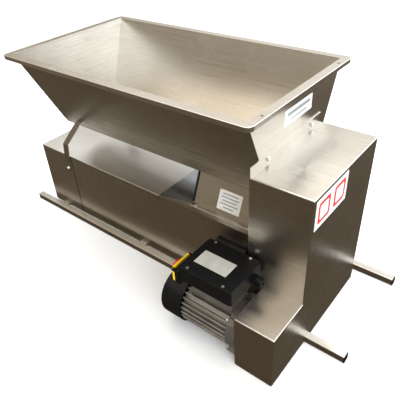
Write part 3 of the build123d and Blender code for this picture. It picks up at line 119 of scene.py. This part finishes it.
class Graph:
    """A new material and short ways to add shader nodes to it."""

    # Dot product of the true and the rounded normal, on flat ground and at a sharp edge
    FLAT, SHARP = 0.995, 0.86

    def __init__(self, name):
        self.material = bpy.data.materials.new(name)
        self.material.use_nodes = True
        self.tree = self.material.node_tree
        self.shader = self.tree.nodes["Principled BSDF"]
        coords = self.tree.nodes.new("ShaderNodeTexCoord")
        self.place = coords.outputs["Object"]
        self.normal = coords.outputs["Normal"]

    def node(self, kind, **inputs):
        """New node with its sockets fed by name, an underscore standing for a space."""
        made = self.tree.nodes.new(kind)
        for key, value in inputs.items():
            feed(self.tree, made.inputs[key.replace("_", " ")], value)
        return made

    def mapped(self, scale):
        """Object coordinates scaled per axis."""
        return self.node("ShaderNodeMapping", Vector=self.place, Scale=scale).outputs["Vector"]

    def noise(self, vector, scale, detail, rough=0.5):
        """Noise between nought and one."""
        made = self.node("ShaderNodeTexNoise", Vector=vector, Scale=scale, Detail=detail, Roughness=rough)
        return made.outputs["Fac"]

    def math(self, operation, first, second=0.0):
        """One step of arithmetic."""
        made = self.tree.nodes.new("ShaderNodeMath")
        made.operation = operation
        feed(self.tree, made.inputs[0], first)
        feed(self.tree, made.inputs[1], second)
        return made.outputs["Value"]

    def span(self, value, start, end, first=0.0, last=1.0):
        """Value moved from one range to another, clamped."""
        return map_range(self.tree, value, start, end, first, last)

    def tint(self, factor, first, second):
        """Colour between two colours."""
        return mix_color(self.tree, factor, first, second)

    def layer(self, color, over, mask, strength):
        """Colour with another one laid over it where the mask is high."""
        return self.tint(self.math("MULTIPLY", mask, strength), color, over)

    def blend(self, factor, first, second):
        """Number between two numbers."""
        made = self.tree.nodes.new("ShaderNodeMix")
        made.data_type = "FLOAT"
        feed(self.tree, made.inputs[MIX_FACTOR], factor)
        feed(self.tree, made.inputs[NUMBER_A], first)
        feed(self.tree, made.inputs[NUMBER_B], second)
        return made.outputs[NUMBER_OUT]

    def edge(self, radius):
        """One along sharp edges, zero on flat ground."""
        rounded = self.node("ShaderNodeBevel", Radius=radius)
        plain = self.tree.nodes.new("ShaderNodeNewGeometry")
        turn = dot(self.tree, rounded.outputs["Normal"], plain.outputs["Normal"])
        return self.span(turn, self.FLAT, self.SHARP)

    def bump(self, height, strength, distance):
        """Fine relief from a height between nought and one."""
        made = self.node("ShaderNodeBump", Height=height, Strength=strength, Distance=distance)
        self.tree.links.new(made.outputs["Normal"], self.shader.inputs["Normal"])

    def finish(self, **inputs):
        """Feeds the shader's sockets by name and gives the material."""
        for key, value in inputs.items():
            feed(self.tree, self.shader.inputs[key.replace("_", " ")], value)
        return self.material


# ---- Materials ---------------------------------------------------------------------------------

# Length of a normal's X part above which a face counts as looking along X
SIDEWAYS = 0.7


def streaks(g, slow, fine):
    """Brush lines along X, or along Y on faces that look along X."""
    split = g.node("ShaderNodeSeparateXYZ", Vector=g.normal)
    sideways = g.math("GREATER_THAN", g.math("ABSOLUTE", split.outputs["X"]), SIDEWAYS)
    main = g.noise(g.mapped((slow, fine, fine)), scale=1.0, detail=3.0, rough=0.6)
    side = g.noise(g.mapped((fine, slow, fine)), scale=1.0, detail=3.0, rough=0.6)
    return g.blend(sideways, main, side)


def scaled(color, factor, lift=0.0):
    """Colour times a factor, plus a lift, with no part of it above one."""
    return tuple(min(1, part * factor + lift) for part in color)


def brushed_steel(name, light, dark, roughness, fine=2600.0):
    """Brushed stainless sheet: fine lines, faint clouds, a few smudges, and paler edges that are partly rub
    wear, partly a painted edge highlight.
    """
    g = Graph(name)
    lines = streaks(g, slow=9.0, fine=fine)
    broad = streaks(g, slow=3.0, fine=fine / 9)
    clouds = g.noise(g.place, scale=5.0, detail=4.0)
    smudge = g.span(g.noise(g.place, scale=17.0, detail=6.0, rough=0.65), 0.56, 0.74)
    color = g.tint(g.span(clouds, 0.3, 0.7), dark, light)
    color = g.layer(color, scaled(dark, 0.62), g.span(lines, 0.35, 0.65), strength=0.22)
    # Paler sharp edges: partly rub wear, partly a painted edge highlight
    color = g.layer(color, scaled(light, 1.35), g.edge(radius=0.0022), strength=0.55)
    rough = g.math("ADD", g.span(lines, 0.3, 0.7, first=roughness - 0.05, last=roughness + 0.09),
                   g.span(broad, 0.3, 0.7, first=-0.03, last=0.04))
    rough = g.math("ADD", rough, g.math("MULTIPLY", smudge, 0.07))
    height = g.math("ADD", g.math("MULTIPLY", lines, 0.7), g.math("MULTIPLY", clouds, 0.25))
    g.bump(height, strength=0.12, distance=0.0004)
    return g.finish(Base_Color=color, Metallic=1.0, Roughness=rough, Anisotropic=0.35)


def cast_metal(name, light, dark, roughness, grain=900.0, metallic=1.0):
    """Cast or machined metal with a fine grain, dull hollows, and brighter edges that are partly wear,
    partly a painted edge highlight.
    """
    g = Graph(name)
    fine = g.noise(g.place, scale=grain, detail=4.0, rough=0.6)
    broad = g.noise(g.place, scale=26.0, detail=4.0)
    color = g.tint(g.span(broad, 0.3, 0.7), dark, light)
    color = g.layer(color, scaled(dark, 0.5), g.span(fine, 0.45, 0.7), strength=0.3)
    # Brighter sharp edges: partly wear, partly a painted edge highlight
    color = g.layer(color, scaled(light, 1.4), g.edge(radius=0.0012), strength=0.6)
    g.bump(g.math("ADD", fine, broad), strength=0.22, distance=0.0004)
    rough = g.span(fine, 0.3, 0.7, first=roughness - 0.06, last=roughness + 0.12)
    return g.finish(Base_Color=color, Metallic=metallic, Roughness=rough)


def moulded_plastic(name, light, dark, roughness, grain=1500.0, coat=0.0, gloss=0.5):
    """Moulded plastic with a fine spark-eroded grain, dust, and paler edges that are partly wear, partly a
    painted edge highlight.
    """
    g = Graph(name)
    fine = g.noise(g.place, scale=grain, detail=3.0, rough=0.55)
    dust = g.span(g.noise(g.place, scale=60.0, detail=8.0, rough=0.7), 0.52, 0.8)
    color = g.tint(g.span(fine, 0.35, 0.65), dark, light)
    color = g.layer(color, DUST_COLOR, dust, strength=0.02)
    # Paler sharp edges: partly wear, partly a painted edge highlight
    color = g.layer(color, scaled(light, 1.8, lift=0.02), g.edge(radius=0.0010), strength=0.35)
    g.bump(fine, strength=0.18, distance=0.0003)
    rough = g.span(fine, 0.3, 0.7, first=roughness - 0.07, last=roughness + 0.09)
    return g.finish(Base_Color=color, Roughness=rough, Coat_Weight=coat, Coat_Roughness=0.15,
                    Specular_IOR_Level=gloss)


def printed_label(name, paper, ink):
    """Blank self-adhesive label: slightly mottled paper under a clear film."""
    g = Graph(name)
    mottle = g.noise(g.place, scale=240.0, detail=5.0)
    color = g.tint(g.span(mottle, 0.35, 0.75, first=0.0, last=0.35), paper, ink)
    g.bump(mottle, strength=0.08, distance=0.0002)
    rough = g.span(mottle, 0.3, 0.7, first=0.28, last=0.42)
    return g.finish(Base_Color=color, Roughness=rough, Coat_Weight=0.3)


def studio_floor():
    """Plain pale floor with a faint variation."""
    g = Graph("studio_floor")
    cloud = g.noise(g.place, scale=1.4, detail=3.0)
    return g.finish(Base_Color=g.tint(cloud, (0.97, 0.97, 0.965), (0.95, 0.95, 0.945)), Roughness=0.85)


DUST_COLOR = (0.32, 0.30, 0.27)
BLACK_LIGHT, BLACK_DARK = (0.007, 0.007, 0.0075), (0.003, 0.003, 0.0035)

SHEET = brushed_steel("stainless_sheet", (0.66, 0.615, 0.545), (0.56, 0.51, 0.44), 0.29)
# Top cover: a lighter copy of the stainless sheet, painted light for the light its upward face catches
COVER_PAINTED_LIGHT = brushed_steel("cover_sheet_painted_lighter", (0.74, 0.73, 0.71), (0.65, 0.64, 0.62), 0.34)
POLISHED = brushed_steel("polished_sheet", (0.40, 0.42, 0.45), (0.28, 0.30, 0.33), 0.15, 3000.0)
BAR = brushed_steel("stainless_bar", (0.60, 0.57, 0.52), (0.50, 0.47, 0.42), 0.27, 1800.0)
TURNED = brushed_steel("machined_steel", (0.58, 0.58, 0.57), (0.42, 0.42, 0.42), 0.26, 3400.0)
IRON = cast_metal("cast_iron", (0.16, 0.17, 0.18), (0.08, 0.085, 0.09), 0.5, 700.0, 0.6)
STACK = cast_metal("electrical_steel", (0.30, 0.31, 0.33), (0.16, 0.16, 0.18), 0.42, 1400.0)
ALUMINIUM = cast_metal("cast_aluminium", (0.60, 0.56, 0.50), (0.44, 0.41, 0.36), 0.38, 1100.0)
CASTING = cast_metal("motor_casting", (0.45, 0.42, 0.37), (0.30, 0.275, 0.24), 0.42, 900.0, 0.85)
# End shield: brown-grey paint, its colour darkened further as painted shade
SHIELD_PAINT_AND_SHADE = cast_metal("end_shield_paint_and_shade", (0.20, 0.18, 0.155), (0.13, 0.115, 0.10), 0.42, 500.0, 0.6)
PLATE_METAL = cast_metal("nameplate_metal", (0.70, 0.69, 0.63), (0.56, 0.55, 0.50), 0.42, 2400.0, 0.3)
SCREW = cast_metal("bright_screw", (0.82, 0.82, 0.80), (0.62, 0.62, 0.60), 0.22, 1800.0)
BRONZE = cast_metal("bronze", (0.62, 0.43, 0.22), (0.44, 0.28, 0.12), 0.3)
BLACK = moulded_plastic("black_plastic", BLACK_LIGHT, BLACK_DARK, 0.36, 1300.0, gloss=0.16)
FAN_BLACK = moulded_plastic("fan_cover_paint", BLACK_LIGHT, BLACK_DARK, 0.33, 500.0, gloss=0.2)
RUBBER = moulded_plastic("black_rubber", (0.01, 0.01, 0.01), (0.005, 0.005, 0.005), 0.62, 700.0, gloss=0.25)
YELLOW = moulded_plastic("yellow_plastic", (0.95, 0.66, 0.02), (0.86, 0.56, 0.01), 0.28, coat=0.4)
RED = moulded_plastic("red_plastic", (0.62, 0.012, 0.012), (0.50, 0.008, 0.008), 0.25, coat=0.5)
GREEN = moulded_plastic("green_plastic", (0.02, 0.33, 0.07), (0.01, 0.25, 0.05), 0.28, coat=0.4)
LABEL = printed_label("label_paper", (0.88, 0.87, 0.83), (0.66, 0.65, 0.61))
LABEL_GREY = printed_label("label_grey", (0.30, 0.30, 0.29), (0.45, 0.44, 0.42))
LABEL_RED = printed_label("label_red", (0.72, 0.03, 0.03), (0.60, 0.05, 0.04))

BY_SLOT = {
    "stainless_sheet": SHEET, "stainless_bar": BAR, "machined_steel": TURNED, "electrical_steel": STACK,
    "screw_steel": SCREW, "black_rubber": RUBBER, "cast_iron": IRON, "bronze": BRONZE,
    "cast_aluminium": ALUMINIUM, "black_plastic": BLACK, "yellow_plastic": YELLOW, "red_plastic": RED,
    "green_plastic": GREEN,
}
BY_NODE = {
    "nameplate": PLATE_METAL, "fan_cover": FAN_BLACK, "throat_plate": POLISHED, "motor_flange": SHIELD_PAINT_AND_SHADE,
    "top_cover": COVER_PAINTED_LIGHT, "motor_body": CASTING,
}


def dress_frame():
    """Gives every CAD node its finished material."""
    for part in frame["record"]["subparts"]:
        node = NODES[part["node"]]
        material = BY_NODE.get(part["node"], BY_SLOT[part["material_slot"]])
        for index in range(max(1, len(node.material_slots))):
            if not node.material_slots:
                node.data.materials.append(material)
            node.material_slots[index].material = material


# ---- Mesh helpers ------------------------------------------------------------------------------


def add_mesh(name, mesh, material, body):
    """Turns a bmesh into an object that rides on a body."""
    data = bpy.data.meshes.new(name)
    bmesh.ops.recalc_face_normals(mesh, faces=mesh.faces)
    mesh.to_mesh(data)
    mesh.free()
    data.materials.append(material)
    piece = bpy.data.objects.new(name, data)
    bpy.context.scene.collection.objects.link(piece)
    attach(piece, body)
    return piece


def rounded_outline(width, height, radius, steps=6):
    """Points of a rounded rectangle about the origin."""
    points = []
    for corner in range(4):
        sx, sy = ((1, 1), (-1, 1), (-1, -1), (1, -1))[corner]
        center = Vector((sx * (width / 2 - radius), sy * (height / 2 - radius)))
        for i in range(steps + 1):
            angle = math.pi / 2 * (corner + i / steps)
            points.append(center + radius * Vector((math.cos(angle), math.sin(angle))))
    return points


def solid_layers(mesh, rings):
    """Joins equal rings of points into a closed solid."""
    made = [[mesh.verts.new(point) for point in ring] for ring in rings]
    count = len(made[0])
    for lower, upper in zip(made, made[1:]):
        for i in range(count):
            j = (i + 1) % count
            mesh.faces.new((lower[i], lower[j], upper[j], upper[i]))
    mesh.faces.new(list(reversed(made[0])))
    mesh.faces.new(made[-1])


def frame_matrix(origin, normal, across):
    """Matrix whose Z is the normal and whose X is the across direction."""
    z = Vector(normal).normalized()
    x = Vector(across).normalized()
    y = z.cross(x)
    matrix = Matrix((x, y, z)).transposed().to_4x4()
    matrix.translation = Vector(origin)
    return matrix


# Thickness in millimetres of a label's film and of the print on it
LABEL_THICK = 0.35
PRINT_THICK = 0.12
# Share of a label's thickness that its softened edge takes
SOFT_SHARE = 0.4


def label(name, origin, normal, across, width, height, material, body="frame", lift=0.0, thick=LABEL_THICK,
          radius=2.0, slot=None):
    """Thin rounded plate with a softened edge, lying on a face. Its sizes are in millimetres."""
    mesh = bmesh.new()
    soft = thick * SOFT_SHARE
    rings = []
    for inset, z in ((0, 0), (0, thick - soft), (soft, thick)):
        ring = rounded_outline(width - 2 * inset, height - 2 * inset, radius)
        rings.append([Vector((p.x * MM, p.y * MM, (lift + z) * MM)) for p in ring])
    solid_layers(mesh, rings)
    mesh.transform(frame_matrix(origin, normal, across))
    return add_mesh(name, mesh, material, body)


def printed(name, origin, normal, across, width, height, material, radius, lift=LABEL_THICK):
    """Plain printed field on a label."""
    return label(name, origin, normal, across, width, height, material, lift=lift, thick=PRINT_THICK,
                 radius=radius)


def smooth(piece, angle=35):
    """Smooth shading with sharp edges kept."""
    piece.data.shade_smooth()
    piece.data.set_sharp_from_angle(angle=math.radians(angle))


# A direction counts as upright when the Z part of its unit vector is above this
UPRIGHT = 0.9


def turned(name, origin, normal, profile, material, body="frame", sides=40):
    """Solid from rings along a normal; the profile is radius and height in millimetres."""
    mesh = bmesh.new()
    rings = []
    for radius, height in profile:
        ring = []
        for i in range(sides):
            angle = 2 * math.pi * i / sides
            ring.append(Vector((radius * math.cos(angle), radius * math.sin(angle), height)) * MM)
        rings.append(ring)
    solid_layers(mesh, rings)
    side = Vector((0, 0, 1)) if abs(Vector(normal).z) < UPRIGHT else Vector((1, 0, 0))
    mesh.transform(frame_matrix(origin, normal, side))
    piece = add_mesh(name, mesh, material, body)
    smooth(piece)
    return piece


# Weld bead: distance between its rings in millimetres, its sides, the share of its radius at a tip,
# and how much of the radius it gains per share of its length
RING_STEP = 2.2
BEAD_SIDES = 8
BEAD_TIP = 0.35
BEAD_GROWTH = 8


def bead(name, points, radius, body="frame"):
    """Plain weld bead along a straight line that isn't upright, thinner at both ends."""
    mesh = bmesh.new()
    start, end = Vector(points[0]), Vector(points[1])
    run = end - start
    count = max(8, int(run.length / (RING_STEP * MM)))
    rings = []
    for i in range(count + 1):
        share = i / count
        reach = radius * min(1.0, BEAD_TIP + BEAD_GROWTH * min(share, 1 - share)) * MM
        ring = []
        for k in range(BEAD_SIDES):
            angle = 2 * math.pi * k / BEAD_SIDES
            ring.append(Vector((reach * math.cos(angle), reach * math.sin(angle), share * run.length)))
        rings.append(ring)
    solid_layers(mesh, rings)
    mesh.transform(frame_matrix(start, run, Vector((0, 0, 1)).cross(run)))
    piece = add_mesh(name, mesh, BAR, body)
    smooth(piece, 60)
    return piece


# ---- Labels ------------------------------------------------------------------------------------

# Sizes and places of the labels in millimetres
HOPPER_LABEL_SIZE = (136, 42)
HOPPER_LABEL_BACK = 2
HOPPER_LABEL_DROP = 62
# Each grey bar's rise over the label's middle, width and height
HOPPER_LABEL_BARS = ((7, 112, 9), (-9, 84, 4))

BOX_LABEL_SIZE = (78, 60)
BOX_LABEL_ALONG = 126
BOX_LABEL_RISE = 44
RULE_WIDTHS = (54, 62, 48, 62, 36)
RULE_HEIGHT = 3.4
TOP_RULE = 20
RULE_STEP = 10

SIGNS_LABEL_SIZE = (160, 82)
SIGNS_LABEL_BACK = 92
SIGNS_LABEL_DROP = 50
SIGN_SHIFT = 39
SIGN_SIDE = 58
SIGN_FIELD = 40


def hopper_label():
    """Blank white label with two plain grey bars on the hopper's right end."""
    x = HOPPER_HIGH.x - (RIM_FLANGE - SHEET_THICKNESS) * MM
    origin = (x, CENTER_Y + HOPPER_LABEL_BACK * MM, HOPPER_HIGH.z - HOPPER_LABEL_DROP * MM)
    label("hopper_label", origin, (1, 0, 0), (0, 1, 0), *HOPPER_LABEL_SIZE, LABEL)
    for i, (rise, width, height) in enumerate(HOPPER_LABEL_BARS):
        place = Vector(origin) + Vector((0, 0, rise * MM))
        printed(f"hopper_label_bar_{i}", place, (1, 0, 0), (0, 1, 0), width, height, LABEL_GREY, radius=2)


def leaning_face():
    """Foot, rise direction and outward normal of the roller box's leaning front."""
    box_low, box_high = low("roller_box_front"), high("roller_box_front")
    foot = Vector((box_low.x, box_low.y + BOX_FOOT * MM, box_low.z))
    head = Vector((box_low.x, box_high.y - SHEET_THICKNESS * MM, box_high.z))
    rise = (head - foot).normalized()
    return foot, rise, Vector((1, 0, 0)).cross(rise)


def roller_box_label():
    """Blank white label on the roller box with plain grey rules."""
    foot, rise, normal = leaning_face()
    origin = foot + Vector((BOX_LABEL_ALONG * MM, 0, 0)) + rise * BOX_LABEL_RISE * MM
    label("roller_box_label", origin, normal, (1, 0, 0), *BOX_LABEL_SIZE, LABEL)
    for i, width in enumerate(RULE_WIDTHS):
        place = origin + rise * (TOP_RULE - RULE_STEP * i) * MM
        printed(f"roller_box_rule_{i}", place, normal, (1, 0, 0), width, RULE_HEIGHT, LABEL_GREY, radius=1.2)


def housing_label():
    """White label on the drive housing with two plain red square frames."""
    origin = Vector((HOUSING_HIGH.x, PLATE_LOW.y + SIGNS_LABEL_BACK * MM,
                     HOUSING_HIGH.z - SIGNS_LABEL_DROP * MM))
    label("housing_label", origin, (1, 0, 0), (0, 1, 0), *SIGNS_LABEL_SIZE, LABEL, radius=3)
    for i, shift in enumerate((-SIGN_SHIFT, SIGN_SHIFT)):
        place = origin + Vector((0, shift * MM, 0))
        printed(f"housing_label_mark_{i}", place, (1, 0, 0), (0, 1, 0), SIGN_SIDE, SIGN_SIDE, LABEL_RED,
                radius=8)
        printed(f"housing_label_field_{i}", place, (1, 0, 0), (0, 1, 0), SIGN_FIELD, SIGN_FIELD, LABEL,
                radius=5, lift=LABEL_THICK + PRINT_THICK)


# ---- Welds and seams ---------------------------------------------------------------------------

# Radii of the hopper's welds, how far the right ones lie left of the gear plate, and the black strip's
# width, thickness and corner radius and how much shorter it is than the seam; the strip is painted shadow of
# the seam's fold
LEFT_WELD, RIGHT_WELD = 1.5, 1.2
WELD_SHIFT = 1
SEAM_SHADOW_WIDTH = 3.6
SEAM_SHADOW_THICK = 0.5
SEAM_SHADOW_RADIUS = 1.0
SEAM_SHADOW_SHORT = 6


def hopper_welds():
    """Weld beads down the hopper's four corners, outside."""
    floor_half = (high("roller_box_rear").y - low("roller_box_front").y) / 2 - BOX_FOOT * MM
    mouth_half = (HOPPER_HIGH.y - HOPPER_LOW.y) / 2 - RIM_FLANGE * MM
    top = HOPPER_HIGH.z - (RIM_LIP + SHEET_THICKNESS) * MM
    bottom = HOPPER_LOW.z
    rise = (top - bottom) / (HOPPER_HIGH.z - bottom)
    top_half = floor_half + (mouth_half - floor_half) * rise
    left_mouth = HOPPER_LOW.x + RIM_FLANGE * MM
    left_floor = left_mouth + LEFT_DRAW * MM
    left_top = left_floor + (left_mouth - left_floor) * rise
    right = PLATE_LOW.x - WELD_SHIFT * MM
    for side, name in ((-1, "front"), (1, "rear")):
        y0, y1 = CENTER_Y + side * floor_half, CENTER_Y + side * top_half
        bead(f"weld_left_{name}", ((left_floor, y0, bottom), (left_top, y1, top)), LEFT_WELD)
        bead(f"weld_right_{name}", ((right, y0, bottom), (right, y1, top)), RIGHT_WELD)


def seam_shadow_strip():
    """Black strip over the seam between the two front panels, as painted shadow of the fold there."""
    left, right = high("outlet_front_panel"), low("front_panel")
    floor, top = right.z, left.z
    origin = ((left.x + right.x) / 2, right.y, (floor + top) / 2)
    height = (top - floor) / MM - SEAM_SHADOW_SHORT
    # Black strip standing in for the fold's shadow: painted shadow
    label("seam_shadow_strip", origin, (0, -1, 0), (1, 0, 0), SEAM_SHADOW_WIDTH, height, RUBBER,
          thick=SEAM_SHADOW_THICK, radius=SEAM_SHADOW_RADIUS, slot="black_rubber")


# ---- Motor details -----------------------------------------------------------------------------

# Radius and height of each ring of a hexagon bolt head and of a flat screw head
BOLT_HEAD = ((5.4, 0), (5.4, 4), (4.6, 5))
SCREW_HEAD = ((3.6, 0), (3.6, 0.3), (2.6, 0.4))
# Bolt circle in the flange's lugs, how far right of the flange's left face the bolt heads start, how
# far the cover's screws lie from its right end, and how deep they sit
BOLT_CIRCLE = 76
BOLT_SINK = 3
SCREW_BACK = 12
SCREW_SINK = 0.4


def motor_axis():
    """Centre of the motor's cross-section."""
    cover_low, cover_high = low("fan_cover"), high("fan_cover")
    return (cover_low.y + cover_high.y) / 2, (cover_low.z + cover_high.z) / 2


def motor_screws():
    """Tie bolts in the flange lugs and small screws round the fan cover's rim."""
    y, z = motor_axis()
    flange_x = low("motor_flange").x + BOLT_SINK * MM
    cover_x = high("fan_cover").x - SCREW_BACK * MM
    cover_radius = (high("fan_cover").y - low("fan_cover").y) / 2
    for i in range(4):
        angle = math.radians(45 + 90 * i)
        out = Vector((0, math.cos(angle), math.sin(angle)))
        place = Vector((flange_x, y, z)) + out * BOLT_CIRCLE * MM
        turned(f"tie_bolt_{i}", place, (-1, 0, 0), BOLT_HEAD, SCREW, sides=6)
        place = Vector((cover_x, y, z)) + out * (cover_radius - SCREW_SINK * MM)
        turned(f"fan_cover_screw_{i}", place, out, SCREW_HEAD, SCREW, sides=24)


# ---- Roller box edge shadow --------------------------------------------------------------------

# Sizes in millimetres of the black strip of painted shadow, how much shorter it is than the box's edge, and
# how far its middle lies above the edge's middle
EDGE_SHADOW_WIDTH = 7
EDGE_SHADOW_THICK = 2.2
EDGE_SHADOW_RADIUS = 1.5
EDGE_SHADOW_SHORT = 6
EDGE_SHADOW_LIFT = 1


def edge_shadow_strip():
    """Black strip up the left edge of the roller box's leaning front, as painted shadow at that edge."""
    foot, rise, normal = leaning_face()
    length = (high("roller_box_front").z - foot.z) / rise.z
    origin = foot + Vector((EDGE_SHADOW_WIDTH / 2 * MM, 0, 0)) + rise * (length / 2 + EDGE_SHADOW_LIFT * MM)
    # Black strip standing in for the shadow at the box's left edge: painted shadow
    label("edge_shadow_strip", origin, normal, (1, 0, 0), EDGE_SHADOW_WIDTH, length / MM - EDGE_SHADOW_SHORT, RUBBER,
          thick=EDGE_SHADOW_THICK, radius=EDGE_SHADOW_RADIUS, slot="black_rubber")


# ---- Stage -------------------------------------------------------------------------------------

FLOOR_HALF = 14.0
# Colour of the room by height, from straight down at nought to straight up at one
ROOM_STOPS = (
    (0.0, (0.080, 0.059, 0.038)), (0.27, (0.118, 0.090, 0.058)), (0.40, (0.25, 0.205, 0.155)),
    (0.64, (0.34, 0.29, 0.22)), (0.70, (0.40, 0.35, 0.27)), (0.80, (1.15, 1.10, 1.0)),
    (0.87, (1.5, 1.45, 1.35)), (1.0, (1.7, 1.67, 1.6)),
)
# Soft windows of the room: direction, inner and outer half angle in degrees, colour
WINDOWS = (
    ((0.42, 0.80, 0.40), 18, 34, (3.0, 3.3, 3.7)),
    ((0.84, -0.46, 0.30), 14, 28, (4.2, 4.8, 5.6)),
    ((-0.40, 0.75, 0.55), 12, 30, (1.15, 1.13, 1.09)),
)
BACKDROP = (1.0, 1.0, 1.0)
LIGHT_TARGET = (0, 0, 0.3)

CAMERA_PLACE = (0.8681, -0.9075, 1.0785)
# Compass angle from the front, height angle and roll in degrees
CAMERA_ANGLES = (40.506, 35.673, -3.541)
CAMERA_LENS = 41.99
SENSOR_WIDTH = 36.0
FARTHEST_SEEN = 60.0


def add_floor():
    """Large pale floor that the steel doesn't mirror."""
    mesh = bmesh.new()
    bmesh.ops.create_grid(mesh, x_segments=4, y_segments=4, size=FLOOR_HALF)
    data = bpy.data.meshes.new("studio_floor")
    mesh.to_mesh(data)
    mesh.free()
    data.materials.append(studio_floor())
    floor = bpy.data.objects.new("studio_floor", data)
    bpy.context.scene.collection.objects.link(floor)
    floor.visible_glossy = False


def area_light(name, place, target, size, power, color):
    """Soft rectangular light aimed at a point."""
    data = bpy.data.lights.new(name, "AREA")
    data.shape = "RECTANGLE"
    data.size, data.size_y = size
    data.energy = power
    data.color = color
    light = bpy.data.objects.new(name, data)
    light.location = place
    light.rotation_euler = (Vector(target) - Vector(place)).to_track_quat("-Z", "Y").to_euler()
    bpy.context.scene.collection.objects.link(light)
    return light


def room_color(tree, direction):
    """Colour of the room in a direction, by height alone."""
    split = tree.nodes.new("ShaderNodeSeparateXYZ")
    ramp = tree.nodes.new("ShaderNodeValToRGB")
    tree.links.new(direction, split.inputs["Vector"])
    tree.links.new(map_range(tree, split.outputs["Z"], -1.0, 1.0), ramp.inputs["Fac"])
    elements = ramp.color_ramp.elements
    for element, (position, color) in zip(elements, (ROOM_STOPS[0], ROOM_STOPS[-1])):
        element.position, element.color = position, (*color, 1)
    for position, color in ROOM_STOPS[1:-1]:
        elements.new(position).color = (*color, 1)
    return ramp.outputs["Color"]


def add_world():
    """Soft room with windows that the steel mirrors, behind a plain white backdrop."""
    world = bpy.data.worlds.new("studio")
    bpy.context.scene.world = world
    world.use_nodes = True
    tree = world.node_tree
    direction = tree.nodes.new("ShaderNodeTexCoord").outputs["Generated"]
    color = room_color(tree, direction)
    for aim, inner, outer, glow in WINDOWS:
        toward = dot(tree, direction, Vector(aim).normalized())
        window = map_range(tree, toward, math.cos(math.radians(outer)), math.cos(math.radians(inner)))
        color = mix_color(tree, window, color, glow)
    path = tree.nodes.new("ShaderNodeLightPath")
    color = mix_color(tree, path.outputs["Is Camera Ray"], color, BACKDROP)
    tree.links.new(color, tree.nodes["Background"].inputs["Color"])


def camera_turn():
    """Camera axes from its compass angle, height angle and roll."""
    azimuth, elevation, roll = (math.radians(angle) for angle in CAMERA_ANGLES)
    back = Vector((math.sin(azimuth) * math.cos(elevation), -math.cos(azimuth) * math.cos(elevation),
                   math.sin(elevation)))
    level = Vector((math.cos(azimuth), math.sin(azimuth), 0))
    rise = back.cross(level)
    right = level * math.cos(roll) + rise * math.sin(roll)
    return Matrix((right, back.cross(right), back)).transposed().to_4x4()


def add_camera():
    """Camera to the right of the front, above and close, so that lines converge."""
    data = bpy.data.cameras.new("camera")
    data.sensor_width = SENSOR_WIDTH
    data.lens = CAMERA_LENS
    data.clip_end = FARTHEST_SEEN
    camera = bpy.data.objects.new("camera", data)
    camera.matrix_world = Matrix.Translation(CAMERA_PLACE) @ camera_turn()
    bpy.context.scene.collection.objects.link(camera)
    bpy.context.scene.camera = camera


def add_lights():
    """One large soft light above and behind, one weaker from the front left."""
    area_light("top_light", (-0.4, 0.9, 3.2), LIGHT_TARGET, size=(3.0, 2.2), power=70,
               color=(0.97, 0.985, 1.0))
    front = area_light("front_light", (-1.6, -2.6, 1.6), LIGHT_TARGET, size=(1.6, 1.2), power=8,
                       color=(1.0, 0.97, 0.93))
    front.visible_glossy = False


# ---- The scene ---------------------------------------------------------------------------------

bpy.context.scene.view_settings.view_transform = "Standard"
dress_frame()
hopper_label()
roller_box_label()
housing_label()
hopper_welds()
seam_shadow_strip()
motor_screws()
edge_shadow_strip()
add_floor()
add_world()
add_lights()
add_camera()
